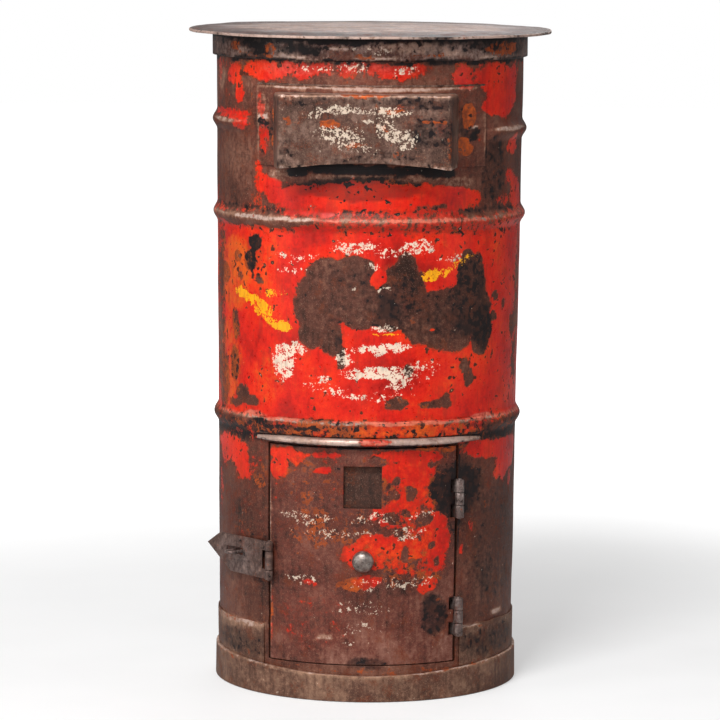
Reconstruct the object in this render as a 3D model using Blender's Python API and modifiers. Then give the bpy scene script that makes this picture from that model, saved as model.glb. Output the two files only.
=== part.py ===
"""A free-standing cylindrical letter box in sheet steel, with a hinged collection door.

The box's own axis is Z, it stands on z = 0, and its door and letter slot face -Y.
An azimuth is in degrees from the front (-Y), and grows towards the hinges at +X.
Lengths are in metres.
"""

import math

import bmesh
import bpy
from mathutils import Matrix, Vector

# Whole box
HEIGHT = 0.900
FOOT_RADIUS = 0.2022
TOP_RADIUS = 0.2111
SHEET = 0.003
GAP = 0.0003
FACET = 6.0  # degrees of azimuth that each flat of a round wall spans

# Swaged beads round the wall, and the flattened stretch at the front of two of them
BEAD_HALF_HEIGHT = 0.008
BEAD_PROUD = 0.005
FLAT_HALF_ANGLE = 48.0
UPPER_BEAD_Z = 0.767
MIDDLE_BEAD_Z = 0.644
LOWER_BEAD_Z = 0.367

# Lid, rim and foot
LID_RADIUS = 0.250
LID_SHEET = 0.0035
LID_CROWN = 0.0025
RIM_RADIUS = 0.2175
RIM_BOTTOM_Z = 0.861
WALL_TOP_Z = 0.8935
FOOT_BAND_RADIUS = 0.2088
FOOT_BAND_TOP_Z = 0.045
FOOT_BAND_SHEET = 0.0054
WRAP_TOP_Z = 0.095
WRAP_SHEET = 0.002
WRAP_FROM, WRAP_TO = 38.5, 317.5
FLOOR_SHEET = 0.003

# Letter slot, the plate round it and the hood over it
SLOT_HALF_ANGLE = 27.0
SLOT_Z = (0.747, 0.783)
WALL_HOLE_HALF_ANGLE = 31.0
WALL_HOLE_Z = (0.738, 0.794)
SLOT_PLATE_FROM, SLOT_PLATE_TO = -45.5, 47.0
SLOT_PLATE_Z = (0.720, 0.828)
SLOT_PLATE_SHEET = 0.002
HOOD_AZIMUTH = -1.8
HOOD_HALF_WIDTH = 0.1173
HOOD_FLARE = 0.0045
HOOD_FACE = 0.235
HOOD_Z = (0.720, 0.818)
HOOD_ARCH = 0.008
CHUTE_SIZE = (0.190, 0.096, 0.002)
CHUTE_PLACE = (0.0, -0.165, 0.722)
CHUTE_SLOPE = 30.0

# Strip and drip rail over the door
HEADER_FROM, HEADER_TO = -44.7, 47.5
HEADER_Z = (0.359, 0.381)
HEADER_SHEET = 0.0045
RAIL_FROM, RAIL_TO = -46.0, 47.5
RAIL_Z = 0.3515
RAIL_THICKNESS = 0.005
RAIL_WIDTH = 0.0115

# Door and its opening
HINGE_AZIMUTH = 36.2
HINGE_GAP = 0.7
DOOR_FROM = -39.4
DOOR_TO = HINGE_AZIMUTH - HINGE_GAP
OPENING_FROM = -40.6
OPENING_TO = HINGE_AZIMUTH + HINGE_GAP
OPENING_Z = (0.0485, 0.346)
DOOR_Z = (0.050, 0.3445)
RETURN_DEPTH = 0.022
RETURN_ANGLE = 0.55
RETURN_INSET = 0.1
RETURN_FOOT_Z = 0.0625
JAMB_Z = (0.030, 0.358)
JAMB_LEG_ANGLE = 6.2
JAMB_WEB_ANGLE = 0.8
STOP_ANGLE = 3.0
SILL_FROM, SILL_TO = -36.8, 33.8
SILL_Z = (0.030, 0.060)
BRACE_FROM, BRACE_TO = -36.5, 32.5
BRACE_HEIGHT = 0.020
BRACE_MIDDLES = {"door_brace_lower": 0.085, "door_brace_upper": 0.230}

# Butt hinges
HINGE_RADIUS = 0.2113
HINGE_MIDDLES = {"upper": 0.2725, "lower": 0.1110}
HINGE_HEIGHT = 0.052
BARREL_RADIUS = 0.006
PIN_RADIUS = 0.0028
LEAF_SHEET = 0.0015
LEAF_DEPTH = 0.026
LEAF_START = 0.007
MIDDLE_KNUCKLE = 0.017
KNUCKLE_GAP = 0.0005

# Hour plate behind its window
WINDOW_AZIMUTH = -1.7
WINDOW_HALF_WIDTH = 0.0295
WINDOW_Z = (0.261, 0.320)
HOLDER_FRONT = 0.1968
HOLDER_DEPTH = 0.006
HOLDER_HALF_WIDTH = 0.042
HOLDER_Z = (0.2475, 0.329)
HOLDER_LEDGE = 0.005
POCKET_HALF_WIDTH = 0.0363
POCKET_DEPTH = 0.0026
HOUR_PLATE_SHEET = 0.002
HOUR_PLATE_HEIGHT = 0.074

# Door knob
KNOB_AZIMUTH = -1.4
KNOB_Z = 0.192
KNOB_RADIUS = 0.014
KNOB_HEIGHT = 0.0135
SHANK_RADIUS = 0.004
SHANK_LENGTH = 0.016

# Hasp
HASP_AZIMUTH = -38.5
HASP_RADIUS = 0.2115
STRAP_AZIMUTH = -48.16
STRAP_SHEET = 0.0025
HASP_Z = 0.185
HASP_HALF_HEIGHT = 0.026
HASP_BARREL_RADIUS = 0.0055
HASP_PIN_RADIUS = 0.0023
HASP_KNUCKLE_HALF = 0.0125
HASP_NOTCH = 0.0115
HASP_LEAF_DEPTH = 0.018
STRAP_TIP = 0.129
STRAP_SHOULDER = 0.102
STRAP_NOTCH_CORNER = 0.1075
STRAP_LOWER_CORNER = 0.079
STAPLE_AZIMUTH = -56.0
STAPLE_Z = 0.190
STAPLE_WIRE = 0.00225
STAPLE_HALF_WIDTH = 0.007
STAPLE_INNER = 0.194
STAPLE_BEND = 0.2217
STRAP_SLOT = (0.0538, 0.0885)
STRAP_SLOT_HALF_HEIGHT = 0.0048


def clear_scene():
    for old in list(bpy.data.objects):
        bpy.data.objects.remove(old)


def new_collection(name):
    made = bpy.data.collections.new(name)
    bpy.context.scene.collection.children.link(made)
    return made


def new_material(name, colour, roughness, metallic):
    made = bpy.data.materials.new(name)
    made.use_nodes = True
    shader = made.node_tree.nodes["Principled BSDF"]
    shader.inputs["Base Color"].default_value = (*colour, 1.0)
    shader.inputs["Roughness"].default_value = roughness
    shader.inputs["Metallic"].default_value = metallic
    return made


clear_scene()
PARTS = new_collection("mailbox")
CUTTERS = new_collection("cutters")
RED_PAINT = ((0.55, 0.05, 0.02), 0.55, 0.1)
RUST = ((0.12, 0.06, 0.045), 0.75, 0.4)
BARE_STEEL = ((0.20, 0.17, 0.15), 0.5, 0.85)
DARK_IRON = ((0.06, 0.045, 0.04), 0.6, 0.7)


def shell_radius(z):
    """Outer radius of the slightly tapered wall."""
    return FOOT_RADIUS + (TOP_RADIUS - FOOT_RADIUS) * z / HEIGHT


def facet_share(azimuth):
    """How far out the flats of a round wall lie, as a share of the radius of their corners."""
    from_middle = azimuth % FACET - FACET / 2
    return math.cos(math.radians(FACET / 2)) / math.cos(math.radians(from_middle))


def on_wall(azimuth, radius, z):
    angle = math.radians(azimuth)
    across = radius * facet_share(azimuth)
    return Vector((across * math.sin(angle), -across * math.cos(angle), z))


def columns(start, end):
    """Azimuths from start to end, with every corner of the flats between them."""
    least_step = 0.05
    first = math.ceil((start + least_step) / FACET)
    last = math.floor((end - least_step) / FACET)
    return [start] + [FACET * i for i in range(first, last + 1)] + [end]


def link(name, mesh, finish):
    """An object of this mesh: a part if it has a finish, and otherwise a cutter."""
    made = bpy.data.objects.new(name, mesh)
    if finish is None:
        CUTTERS.objects.link(made)
        made.hide_render = True
        made.display_type = "WIRE"
    else:
        PARTS.objects.link(made)
        mesh.materials.append(new_material(name, *finish))
    return made


def mesh_object(name, shape, finish=None):
    mesh = bpy.data.meshes.new(name)
    shape.to_mesh(mesh)
    shape.free()
    return link(name, mesh, finish)


def shade_round(thing, sharp_angle=40.0):
    thing.data.shade_smooth()
    thing.data.set_sharp_from_angle(angle=math.radians(sharp_angle))


def rolled_sheet(name, azimuths, heights, outer, thickness, finish=None):
    """A sheet rolled round the box's axis, thickened inwards from its outer radius."""
    start, end = azimuths
    across = columns(start, end)
    shape = bmesh.new()
    bmesh.ops.create_grid(shape, x_segments=len(across) - 1, y_segments=len(heights) - 1, size=1.0)
    for vert in shape.verts:
        column = round((vert.co.x + 1) / 2 * (len(across) - 1))
        z = heights[round((vert.co.y + 1) / 2 * (len(heights) - 1))]
        vert.co = on_wall(across[column], outer(across[column], z), z)
    bmesh.ops.remove_doubles(shape, verts=shape.verts, dist=1e-6)
    made = mesh_object(name, shape, finish)
    thicken = made.modifiers.new("thickness", "SOLIDIFY")
    thicken.thickness = thickness
    thicken.offset = -1
    thicken.use_even_offset = True
    shade_round(made, 20.0)
    return made


def beyond_wall(distance):
    """Outer radius of a sheet whose outside stands this far out from the wall's outside."""
    return lambda azimuth, z: shell_radius(z) + distance


def box(name, low, high, finish=None):
    shape = bmesh.new()
    bmesh.ops.create_cube(shape, size=1.0)
    low, high = Vector(low), Vector(high)
    for vert in shape.verts:
        vert.co = [(low[i] + high[i]) / 2 + vert.co[i] * (high[i] - low[i]) for i in range(3)]
    return mesh_object(name, shape, finish)


def rod(name, radius, low, high, finish=None, segments=24, top_radius=None):
    """A round bar along Z from low to high."""
    shape = bmesh.new()
    top = radius if top_radius is None else top_radius
    bmesh.ops.create_cone(
        shape, cap_ends=True, segments=segments, radius1=radius, radius2=top, depth=high - low
    )
    bmesh.ops.translate(shape, verts=shape.verts, vec=(0, 0, (low + high) / 2))
    made = mesh_object(name, shape, finish)
    shade_round(made)
    return made


def turned(name, profile, finish, steps):
    """A solid turned about Z from (radius, height) points that run from its top to its bottom."""
    mesh = bpy.data.meshes.new(name)
    points = [(radius, 0.0, height) for radius, height in profile]
    mesh.from_pydata(points, [(i, i + 1) for i in range(len(points) - 1)], [])
    made = link(name, mesh, finish)
    screw = made.modifiers.new("turn", "SCREW")
    screw.steps = screw.render_steps = steps
    screw.use_merge_vertices = True
    screw.merge_threshold = 0.00001
    screw.use_smooth_shade = True
    return made


def outline_mesh(name, outline, thickness, finish=None):
    """A flat outline in XY, given counter-clockwise, as a closed mesh centred on z = 0."""
    curve = bpy.data.curves.new(name, "CURVE")
    curve.dimensions = "2D"
    curve.fill_mode = "BOTH"
    curve.extrude = thickness / 2
    spline = curve.splines.new("POLY")
    spline.points.add(len(outline) - 1)
    for point, (x, y) in zip(spline.points, outline):
        point.co = (x, y, 0, 1)
    spline.use_cyclic_u = True
    return from_curve(name, curve, finish)


def wire_mesh(name, route, radius, finish=None):
    """A round wire along a route of points, as a closed mesh."""
    curve = bpy.data.curves.new(name, "CURVE")
    curve.dimensions = "3D"
    curve.bevel_depth = radius
    curve.bevel_resolution = 2
    curve.use_fill_caps = True
    spline = curve.splines.new("POLY")
    spline.points.add(len(route) - 1)
    for point, place in zip(spline.points, route):
        point.co = (*place, 1)
    made = from_curve(name, curve, finish)
    shade_round(made)
    return made


def from_curve(name, curve, finish):
    drawn = bpy.data.objects.new(name + "_curve", curve)
    CUTTERS.objects.link(drawn)
    bpy.context.view_layer.update()
    evaluated = drawn.evaluated_get(bpy.context.evaluated_depsgraph_get())
    mesh = bpy.data.meshes.new_from_object(evaluated)
    bpy.data.objects.remove(drawn)
    shape = bmesh.new()
    shape.from_mesh(mesh)
    bmesh.ops.remove_doubles(shape, verts=shape.verts, dist=1e-6)
    bmesh.ops.recalc_face_normals(shape, faces=shape.faces)
    mesh.materials.clear()
    shape.to_mesh(mesh)
    shape.free()
    return link(name, mesh, finish)


def boolean(part, operation, others):
    for other in others:
        step = part.modifiers.new(other.name, "BOOLEAN")
        step.operation = operation
        step.object = other
        step.solver = "EXACT"


def cut(part, *cutters):
    boolean(part, "DIFFERENCE", cutters)


def join(part, *pieces):
    boolean(part, "UNION", pieces)


def place(thing, azimuth=0.0, radius=0.0, z=0.0):
    """Put a piece made in a local frame at the wall: its +Y then points at the box's axis."""
    angle = math.radians(azimuth)
    thing.location = (radius * math.sin(angle), -radius * math.cos(angle), z)
    thing.rotation_euler = (0, 0, angle)
    return thing


def new_axis(name, azimuth, radius, z, parent=None):
    axis = bpy.data.objects.new(name, None)
    PARTS.objects.link(axis)
    place(axis, azimuth, radius, z)
    ride(axis, parent)
    return axis


def ride(thing, parent):
    """Parent a piece without moving it."""
    bpy.context.view_layer.update()
    if parent is not None:
        thing.parent = parent
        thing.matrix_parent_inverse = parent.matrix_world.inverted()


# Wall and everything fixed to it


def bead(azimuth, z):
    """How far the swaged beads stand out of the wall here."""
    away = abs((azimuth + 180) % 360 - 180)
    rounded = min(1.0, max(0.0, (away - FLAT_HALF_ANGLE) / FACET))
    for middle, share in ((UPPER_BEAD_Z, rounded), (MIDDLE_BEAD_Z, 1.0), (LOWER_BEAD_Z, rounded)):
        offset = abs(z - middle) / BEAD_HALF_HEIGHT
        if offset < 1:
            return BEAD_PROUD * share * math.cos(offset * math.pi / 2) ** 2
    return 0.0


def make_wall():
    heights = [0.0, WALL_TOP_Z]
    for middle in (UPPER_BEAD_Z, MIDDLE_BEAD_Z, LOWER_BEAD_Z):
        heights += [middle + BEAD_HALF_HEIGHT * share for share in (-1.0, -0.5, 0.0, 0.5, 1.0)]
    wall = rolled_sheet(
        "body_shell",
        (-180, 180),
        sorted(heights),
        lambda azimuth, z: shell_radius(z) + bead(azimuth, z),
        SHEET,
        RED_PAINT,
    )
    hole_ends = (-WALL_HOLE_HALF_ANGLE, WALL_HOLE_HALF_ANGLE)
    hole = rolled_sheet("wall_hole_cutter", hole_ends, WALL_HOLE_Z, beyond_wall(0.010), 0.030)
    slot_ends = (-SLOT_HALF_ANGLE, SLOT_HALF_ANGLE)
    slot = rolled_sheet("slot_cutter", slot_ends, SLOT_Z, beyond_wall(0.010), 0.030)
    opening = rolled_sheet(
        "opening_cutter", (OPENING_FROM, OPENING_TO), OPENING_Z, beyond_wall(0.010), 0.030
    )
    cut(wall, hole, opening, *staple_holes())
    plate = rolled_sheet(
        "slot_plate",
        (SLOT_PLATE_FROM, SLOT_PLATE_TO),
        SLOT_PLATE_Z,
        beyond_wall(GAP + SLOT_PLATE_SHEET),
        SLOT_PLATE_SHEET,
        RED_PAINT,
    )
    cut(plate, slot)


def make_bands():
    rolled_sheet(
        "rim_band",
        (-180, 180),
        (RIM_BOTTOM_Z, WALL_TOP_Z),
        lambda azimuth, z: RIM_RADIUS,
        RIM_RADIUS - shell_radius(WALL_TOP_Z) - GAP,
        DARK_IRON,
    )
    rolled_sheet(
        "base_band",
        (-180, 180),
        (0.0, FOOT_BAND_TOP_Z),
        lambda azimuth, z: FOOT_BAND_RADIUS - 0.0005 * z / FOOT_BAND_TOP_Z,
        FOOT_BAND_SHEET,
        RUST,
    )
    rolled_sheet(
        "wrap_band",
        (WRAP_FROM, WRAP_TO),
        (FOOT_BAND_TOP_Z + GAP, WRAP_TOP_Z),
        beyond_wall(GAP + WRAP_SHEET),
        WRAP_SHEET,
        RUST,
    )
    rolled_sheet(
        "header_strip",
        (HEADER_FROM, HEADER_TO),
        HEADER_Z,
        beyond_wall(GAP + HEADER_SHEET),
        HEADER_SHEET,
        RED_PAINT,
    )
    rolled_sheet(
        "seam_strap", (176.0, 184.0), (0.004, 0.890), beyond_wall(-SHEET - GAP), 0.002, RUST
    )


def make_lid():
    edge_bottom = WALL_TOP_Z + GAP
    edge_top = edge_bottom + LID_SHEET
    chamfer = 0.0008
    profile = [
        (0.0, edge_top + LID_CROWN),
        (LID_RADIUS / 2, edge_top + LID_CROWN * 0.75),
        (LID_RADIUS - chamfer, edge_top),
        (LID_RADIUS, edge_top - chamfer),
        (LID_RADIUS, edge_bottom + chamfer),
        (LID_RADIUS - chamfer, edge_bottom),
        (LID_RADIUS / 2, edge_bottom + LID_CROWN * 0.75),
        (0.0, edge_bottom + LID_CROWN),
    ]
    turned("lid_plate", profile, BARE_STEEL, steps=60)
    inside = shell_radius(0.0) - SHEET - 2 * GAP
    rod("floor_plate", inside, 0.0, FLOOR_SHEET, RUST, segments=60)


def make_hood():
    low, high = HOOD_Z
    back = 0.150
    hood = flared_box("letter_hood", HOOD_HALF_WIDTH, HOOD_FACE, back, (low, high), BARE_STEEL)
    hollow = flared_box(
        "hood_hollow", HOOD_HALF_WIDTH - SHEET, HOOD_FACE - SHEET, back - 0.01, (low - 0.02, high - SHEET)
    )
    clearance = GAP + SLOT_PLATE_SHEET + GAP
    around = rod(
        "hood_wall_cutter",
        shell_radius(low - 0.02) + clearance,
        low - 0.02,
        high + 0.02,
        segments=60,
        top_radius=shell_radius(high + 0.02) + clearance,
    )
    half_span = HOOD_HALF_WIDTH - 2 * SHEET
    arch_radius = (half_span**2 + HOOD_ARCH**2) / (2 * HOOD_ARCH)
    arch = rod("hood_arch_cutter", arch_radius, 0.226, 0.260, segments=128)
    arch.rotation_euler = (math.pi / 2, 0, math.radians(HOOD_AZIMUTH))
    arch.location = (0, 0, low + HOOD_ARCH - arch_radius)
    cut(hood, hollow, around, arch)

    chute = box("letter_chute", [-s / 2 for s in CHUTE_SIZE], [s / 2 for s in CHUTE_SIZE], BARE_STEEL)
    chute.location = CHUTE_PLACE
    chute.rotation_euler = (-math.radians(CHUTE_SLOPE), 0, 0)
    bore = rod("chute_trim", shell_radius(SLOT_Z[0]) - SHEET - 0.001, 0.65, 0.80, segments=60)
    boolean(chute, "INTERSECT", [bore])


def flared_box(name, half_width, face, back, heights, finish=None):
    """A box whose sides spread by the hood's flare from its front face to its back."""
    made = box(name, (-half_width, -face, heights[0]), (half_width, -back, heights[1]), finish)
    for vert in made.data.vertices:
        if vert.co.y > -face + 0.001:
            vert.co.x *= (half_width + HOOD_FLARE) / half_width
    made.rotation_euler = (0, 0, math.radians(HOOD_AZIMUTH))
    return made


def make_drip_rail():
    """A crescent shelf over the door, drawn out to nothing at both ends."""
    middle, half = (RAIL_FROM + RAIL_TO) / 2, (RAIL_TO - RAIL_FROM) / 2
    inner = shell_radius(RAIL_Z + RAIL_THICKNESS / 2) + GAP
    least = 0.0012
    across = columns(RAIL_FROM, RAIL_TO)
    front = []
    for azimuth in across:
        width = least + (RAIL_WIDTH - least) * (1 - abs((azimuth - middle) / half) ** 5)
        front.append(on_wall(azimuth, inner + width, 0).xy)
    behind = [on_wall(azimuth, inner, 0).xy for azimuth in reversed(across)]
    rail = outline_mesh("drip_rail", front + behind, RAIL_THICKNESS, BARE_STEEL)
    rail.location.z = RAIL_Z


def make_jambs():
    """Steel angles up both sides of the opening, and the sill strip that the door shuts against."""
    behind = beyond_wall(-SHEET - GAP)
    for name, edge, side in (("jamb_left", OPENING_FROM, -1), ("jamb_right", OPENING_TO, 1)):
        leg_ends = sorted((edge, edge + side * JAMB_LEG_ANGLE))
        web_ends = sorted((edge, edge + side * JAMB_WEB_ANGLE))
        jamb = rolled_sheet(name, leg_ends, JAMB_Z, behind, SHEET, RUST)
        inset = (JAMB_Z[0] + 0.0005, JAMB_Z[1] - 0.0005)
        web_ends[0] += RETURN_INSET * (side > 0)
        web_ends[1] -= RETURN_INSET * (side < 0)
        web = rolled_sheet(name + "_web", web_ends, inset, beyond_wall(-SHEET - 2 * GAP), RETURN_DEPTH)
        join(jamb, web)
        if side < 0:
            stop_outer = beyond_wall(-SHEET - RETURN_DEPTH + 0.0005)
            stop_ends = (edge - JAMB_WEB_ANGLE + 0.1, edge + STOP_ANGLE)
            stop_z = (JAMB_Z[0] + 0.001, JAMB_Z[1] - 0.001)
            join(jamb, rolled_sheet("jamb_stop", stop_ends, stop_z, stop_outer, SHEET))
    rolled_sheet("door_sill", (SILL_FROM, SILL_TO), SILL_Z, beyond_wall(-SHEET - 2 * GAP), SHEET, RUST)


# Staple, set in the wall


def staple_holes():
    holes = []
    for side in (-1, 1):
        hole = rod(f"staple_hole_{'left' if side < 0 else 'right'}", STAPLE_WIRE + 2 * GAP, 0.19, 0.22)
        hole.rotation_euler = (math.pi / 2, 0, math.radians(STAPLE_AZIMUTH))
        across = math.radians(STAPLE_AZIMUTH)
        offset = side * STAPLE_HALF_WIDTH
        hole.location = (offset * math.cos(across), offset * math.sin(across), STAPLE_Z)
        holes.append(hole)
    return holes


def make_staple():
    turns = 8
    bend = []
    for i in range(turns + 1):
        angle = math.pi * i / turns
        x = -STAPLE_HALF_WIDTH * math.cos(angle)
        bend.append((x, -STAPLE_BEND - STAPLE_HALF_WIDTH * math.sin(angle), 0))
    ends = [(side * STAPLE_HALF_WIDTH, -STAPLE_INNER, 0) for side in (-1, 1)]
    staple = wire_mesh("hasp_staple", [ends[0], *bend, ends[1]], STAPLE_WIRE, BARE_STEEL)
    place(staple, STAPLE_AZIMUTH, 0.0, STAPLE_Z)
    plate = box("staple_plate", (-0.016, -0.2000, -0.008), (0.016, -0.1980, 0.008), RUST)
    place(plate, STAPLE_AZIMUTH, 0.0, STAPLE_Z)
    cut(plate, bpy.data.objects["staple_hole_left"], bpy.data.objects["staple_hole_right"])


# Hinges


def knuckle_spans():
    """Height ranges of the two fixed knuckles and of the door's knuckle, about the hinge's middle."""
    half = HINGE_HEIGHT / 2
    inner = MIDDLE_KNUCKLE / 2
    fixed = [(-half, -inner - KNUCKLE_GAP), (inner + KNUCKLE_GAP, half)]
    return fixed, [(-inner, inner)]


def hinge_leaf(name, spans, side, middle):
    """One leaf running in from the barrel, with its knuckles and their bore."""
    near, far = sorted((side * LEAF_SHEET * 0.1, side * LEAF_SHEET * 1.1))
    half = HINGE_HEIGHT / 2
    leaf = box(name, (near, LEAF_START, -half), (far, LEAF_DEPTH, half), BARE_STEEL)
    pieces = []
    for i, (low, high) in enumerate(spans):
        tab = box(f"{name}_tab_{i}", (near, 0, low + 0.0002), (far, LEAF_START + 0.003, high - 0.0002))
        knuckle = rod(f"{name}_knuckle_{i}", BARREL_RADIUS, low, high)
        pieces += [tab, knuckle]
    bore = rod(name + "_bore", PIN_RADIUS + GAP, -half - 0.01, half + 0.01, segments=16)
    join(leaf, *pieces)
    cut(leaf, bore)
    for piece in [leaf, bore, *pieces]:
        place(piece, HINGE_AZIMUTH, HINGE_RADIUS, middle)
    return leaf


def make_hinges(door_axis):
    fixed_spans, door_spans = knuckle_spans()
    for level, middle in HINGE_MIDDLES.items():
        hinge_leaf(level + "_hinge_frame_leaf", fixed_spans, 1, middle)
        ride(hinge_leaf(level + "_hinge_door_leaf", door_spans, -1, middle), door_axis)
        half = HINGE_HEIGHT / 2 + 0.0015
        pin = rod(level + "_hinge_pin", PIN_RADIUS, -half, half, BARE_STEEL, segments=16)
        place(pin, HINGE_AZIMUTH, HINGE_RADIUS, middle)


# Door


def make_door(door_axis):
    door = rolled_sheet("door_panel", (DOOR_FROM, DOOR_TO), DOOR_Z, beyond_wall(0.0), SHEET, RED_PAINT)
    return_z = (RETURN_FOOT_Z, DOOR_Z[1] - 0.0005)
    for name, edge in (
        ("door_return_left", DOOR_FROM + RETURN_INSET),
        ("door_return_right", DOOR_TO - RETURN_INSET - RETURN_ANGLE),
    ):
        ends = (edge, edge + RETURN_ANGLE)
        join(door, rolled_sheet(name, ends, return_z, beyond_wall(-0.001), RETURN_DEPTH))
    window = box(
        "window_cutter",
        (-WINDOW_HALF_WIDTH, -0.220, WINDOW_Z[0]),
        (WINDOW_HALF_WIDTH, -0.190, WINDOW_Z[1]),
    )
    place(window, WINDOW_AZIMUTH)
    knob_hole = rod("knob_hole", SHANK_RADIUS + GAP, -0.02, 0.02)
    stand_on_door(knob_hole)
    cut(door, window, knob_hole)
    ride(door, door_axis)
    for name, middle in BRACE_MIDDLES.items():
        heights = (middle - BRACE_HEIGHT / 2, middle + BRACE_HEIGHT / 2)
        outer = beyond_wall(-SHEET - GAP)
        ride(rolled_sheet(name, (BRACE_FROM, BRACE_TO), heights, outer, SHEET, RUST), door_axis)


def stand_on_door(thing):
    """Turn a piece made along Z so that it stands straight out of the door at the knob."""
    place(thing, KNOB_AZIMUTH, shell_radius(KNOB_Z), KNOB_Z)
    thing.rotation_euler.x = math.pi / 2


def make_knob(door_axis):
    seat = 0.0010
    rim = 0.003
    arc = 6
    profile = []
    for i in range(arc + 1):
        angle = math.pi / 2 * (1 - i / arc)
        height = rim + (KNOB_HEIGHT - rim) * math.sin(angle)
        profile.append((KNOB_RADIUS * math.cos(angle) if i else 0.0, height))
    profile += [
        (KNOB_RADIUS - 0.001, seat),
        (SHANK_RADIUS, seat),
        (SHANK_RADIUS, -SHANK_LENGTH),
        (0.0, -SHANK_LENGTH),
    ]
    knob = turned("door_knob", profile, BARE_STEEL, steps=24)
    washer_top = -SHEET - 2 * GAP
    washer = rod("knob_washer", 0.010, washer_top - 0.0015, washer_top, BARE_STEEL)
    nut_top = washer_top - 0.0015 - GAP
    nut = rod("knob_nut", 0.0075, nut_top - 0.006, nut_top, BARE_STEEL, segments=6)
    bore = rod("knob_bore", SHANK_RADIUS + GAP, -0.03, 0.0)
    for thing in (knob, washer, nut, bore):
        stand_on_door(thing)
    for thing in (washer, nut):
        cut(thing, bore)
    for thing in (knob, washer, nut):
        ride(thing, door_axis)


def make_hour_plate(door_axis):
    back = HOLDER_FRONT - HOLDER_DEPTH
    pocket_floor = HOLDER_Z[0] + HOLDER_LEDGE
    holder = box(
        "hour_plate_holder",
        (-HOLDER_HALF_WIDTH, -HOLDER_FRONT, HOLDER_Z[0]),
        (HOLDER_HALF_WIDTH, -back, HOLDER_Z[1]),
        RUST,
    )
    pocket = box(
        "pocket_cutter",
        (-POCKET_HALF_WIDTH, -HOLDER_FRONT - 0.01, pocket_floor),
        (POCKET_HALF_WIDTH, -HOLDER_FRONT + POCKET_DEPTH, HOLDER_Z[1] + 0.01),
    )
    view = box(
        "holder_window_cutter",
        (-WINDOW_HALF_WIDTH + 0.002, -HOLDER_FRONT - 0.02, WINDOW_Z[0] + 0.002),
        (WINDOW_HALF_WIDTH - 0.002, -back + 0.02, WINDOW_Z[1] - 0.002),
    )
    cut(holder, pocket, view)
    half_width = POCKET_HALF_WIDTH - GAP
    bottom = pocket_floor + GAP
    plate = box(
        "hour_plate",
        (-half_width, -HOLDER_FRONT + GAP, bottom),
        (half_width, -HOLDER_FRONT + GAP + HOUR_PLATE_SHEET, bottom + HOUR_PLATE_HEIGHT),
        DARK_IRON,
    )
    for thing in (holder, pocket, view, plate):
        place(thing, WINDOW_AZIMUTH)
    ride(holder, door_axis)
    slide = new_axis("hour_plate_slide", WINDOW_AZIMUTH, HOLDER_FRONT, bottom, door_axis)
    ride(plate, slide)


# Hasp


def strap_frame():
    """Local X runs from the hasp's pin to the strap's tip, local Y is up, local Z points inwards."""
    angle = math.radians(STRAP_AZIMUTH)
    along = Vector((-math.cos(angle), -math.sin(angle), 0))
    up = Vector((0, 0, 1))
    turn = Matrix((along, up, along.cross(up))).transposed().to_4x4()
    return Matrix.Translation(on_axis(HASP_AZIMUTH, HASP_RADIUS, HASP_Z)) @ turn


def on_axis(azimuth, radius, z):
    angle = math.radians(azimuth)
    return Vector((radius * math.sin(angle), -radius * math.cos(angle), z))


def make_hasp(door_axis):
    half = HASP_HALF_HEIGHT
    bore_radius = HASP_PIN_RADIUS + GAP

    leaf = rod("hasp_door_leaf", HASP_BARREL_RADIUS, -HASP_KNUCKLE_HALF, HASP_KNUCKLE_HALF, BARE_STEEL)
    outside = -HASP_BARREL_RADIUS + GAP
    plate = box(
        "hasp_leaf_plate",
        (outside, 0.0, -HASP_KNUCKLE_HALF + 0.0002),
        (outside + LEAF_SHEET, HASP_LEAF_DEPTH, HASP_KNUCKLE_HALF - 0.0002),
    )
    bore = rod("hasp_bore", bore_radius, -half - 0.01, half + 0.01, segments=16)
    join(leaf, plate)
    cut(leaf, bore)
    pin = rod("hasp_pin", HASP_PIN_RADIUS, -half - 0.002, half + 0.002, BARE_STEEL, segments=16)
    for thing in (leaf, plate, bore, pin):
        place(thing, HASP_AZIMUTH, HASP_RADIUS, HASP_Z)
    ride(leaf, door_axis)
    ride(pin, door_axis)

    outline = [
        (0.0, -half),
        (STRAP_LOWER_CORNER, -half + 0.001),
        (STRAP_NOTCH_CORNER, -0.006),
        (STRAP_TIP, 0.009),
        (STRAP_SHOULDER, half),
        (0.0, half),
    ]
    strap = outline_mesh("hasp_strap", outline, STRAP_SHEET, BARE_STEEL)
    barrel = rod("strap_barrel", HASP_BARREL_RADIUS, -half - 0.0002, half + 0.0002)
    barrel.rotation_euler.x = -math.pi / 2
    notch_half = HASP_KNUCKLE_HALF + KNUCKLE_GAP
    notch = box("strap_notch", (-0.02, -notch_half, -0.02), (HASP_NOTCH, notch_half, 0.02))
    slot_middle = STAPLE_Z - HASP_Z
    slot = box(
        "strap_slot",
        (STRAP_SLOT[0], slot_middle - STRAP_SLOT_HALF_HEIGHT, -0.02),
        (STRAP_SLOT[1], slot_middle + STRAP_SLOT_HALF_HEIGHT, 0.02),
    )
    frame = strap_frame()
    for thing in (strap, notch, slot):
        thing.matrix_world = frame
    barrel.matrix_world = frame @ Matrix.Rotation(-math.pi / 2, 4, "X")
    join(strap, barrel)
    cut(strap, notch, bore, slot)
    hasp_axis = new_axis("hasp_axis", HASP_AZIMUTH, HASP_RADIUS, HASP_Z, door_axis)
    ride(strap, hasp_axis)


def main():
    door_axis = new_axis("door_axis", HINGE_AZIMUTH, HINGE_RADIUS, 0.0)
    make_wall()
    make_bands()
    make_lid()
    make_hood()
    make_drip_rail()
    make_jambs()
    make_staple()
    make_hinges(door_axis)
    make_door(door_axis)
    make_knob(door_axis)
    make_hour_plate(door_axis)
    make_hasp(door_axis)


main()
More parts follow.
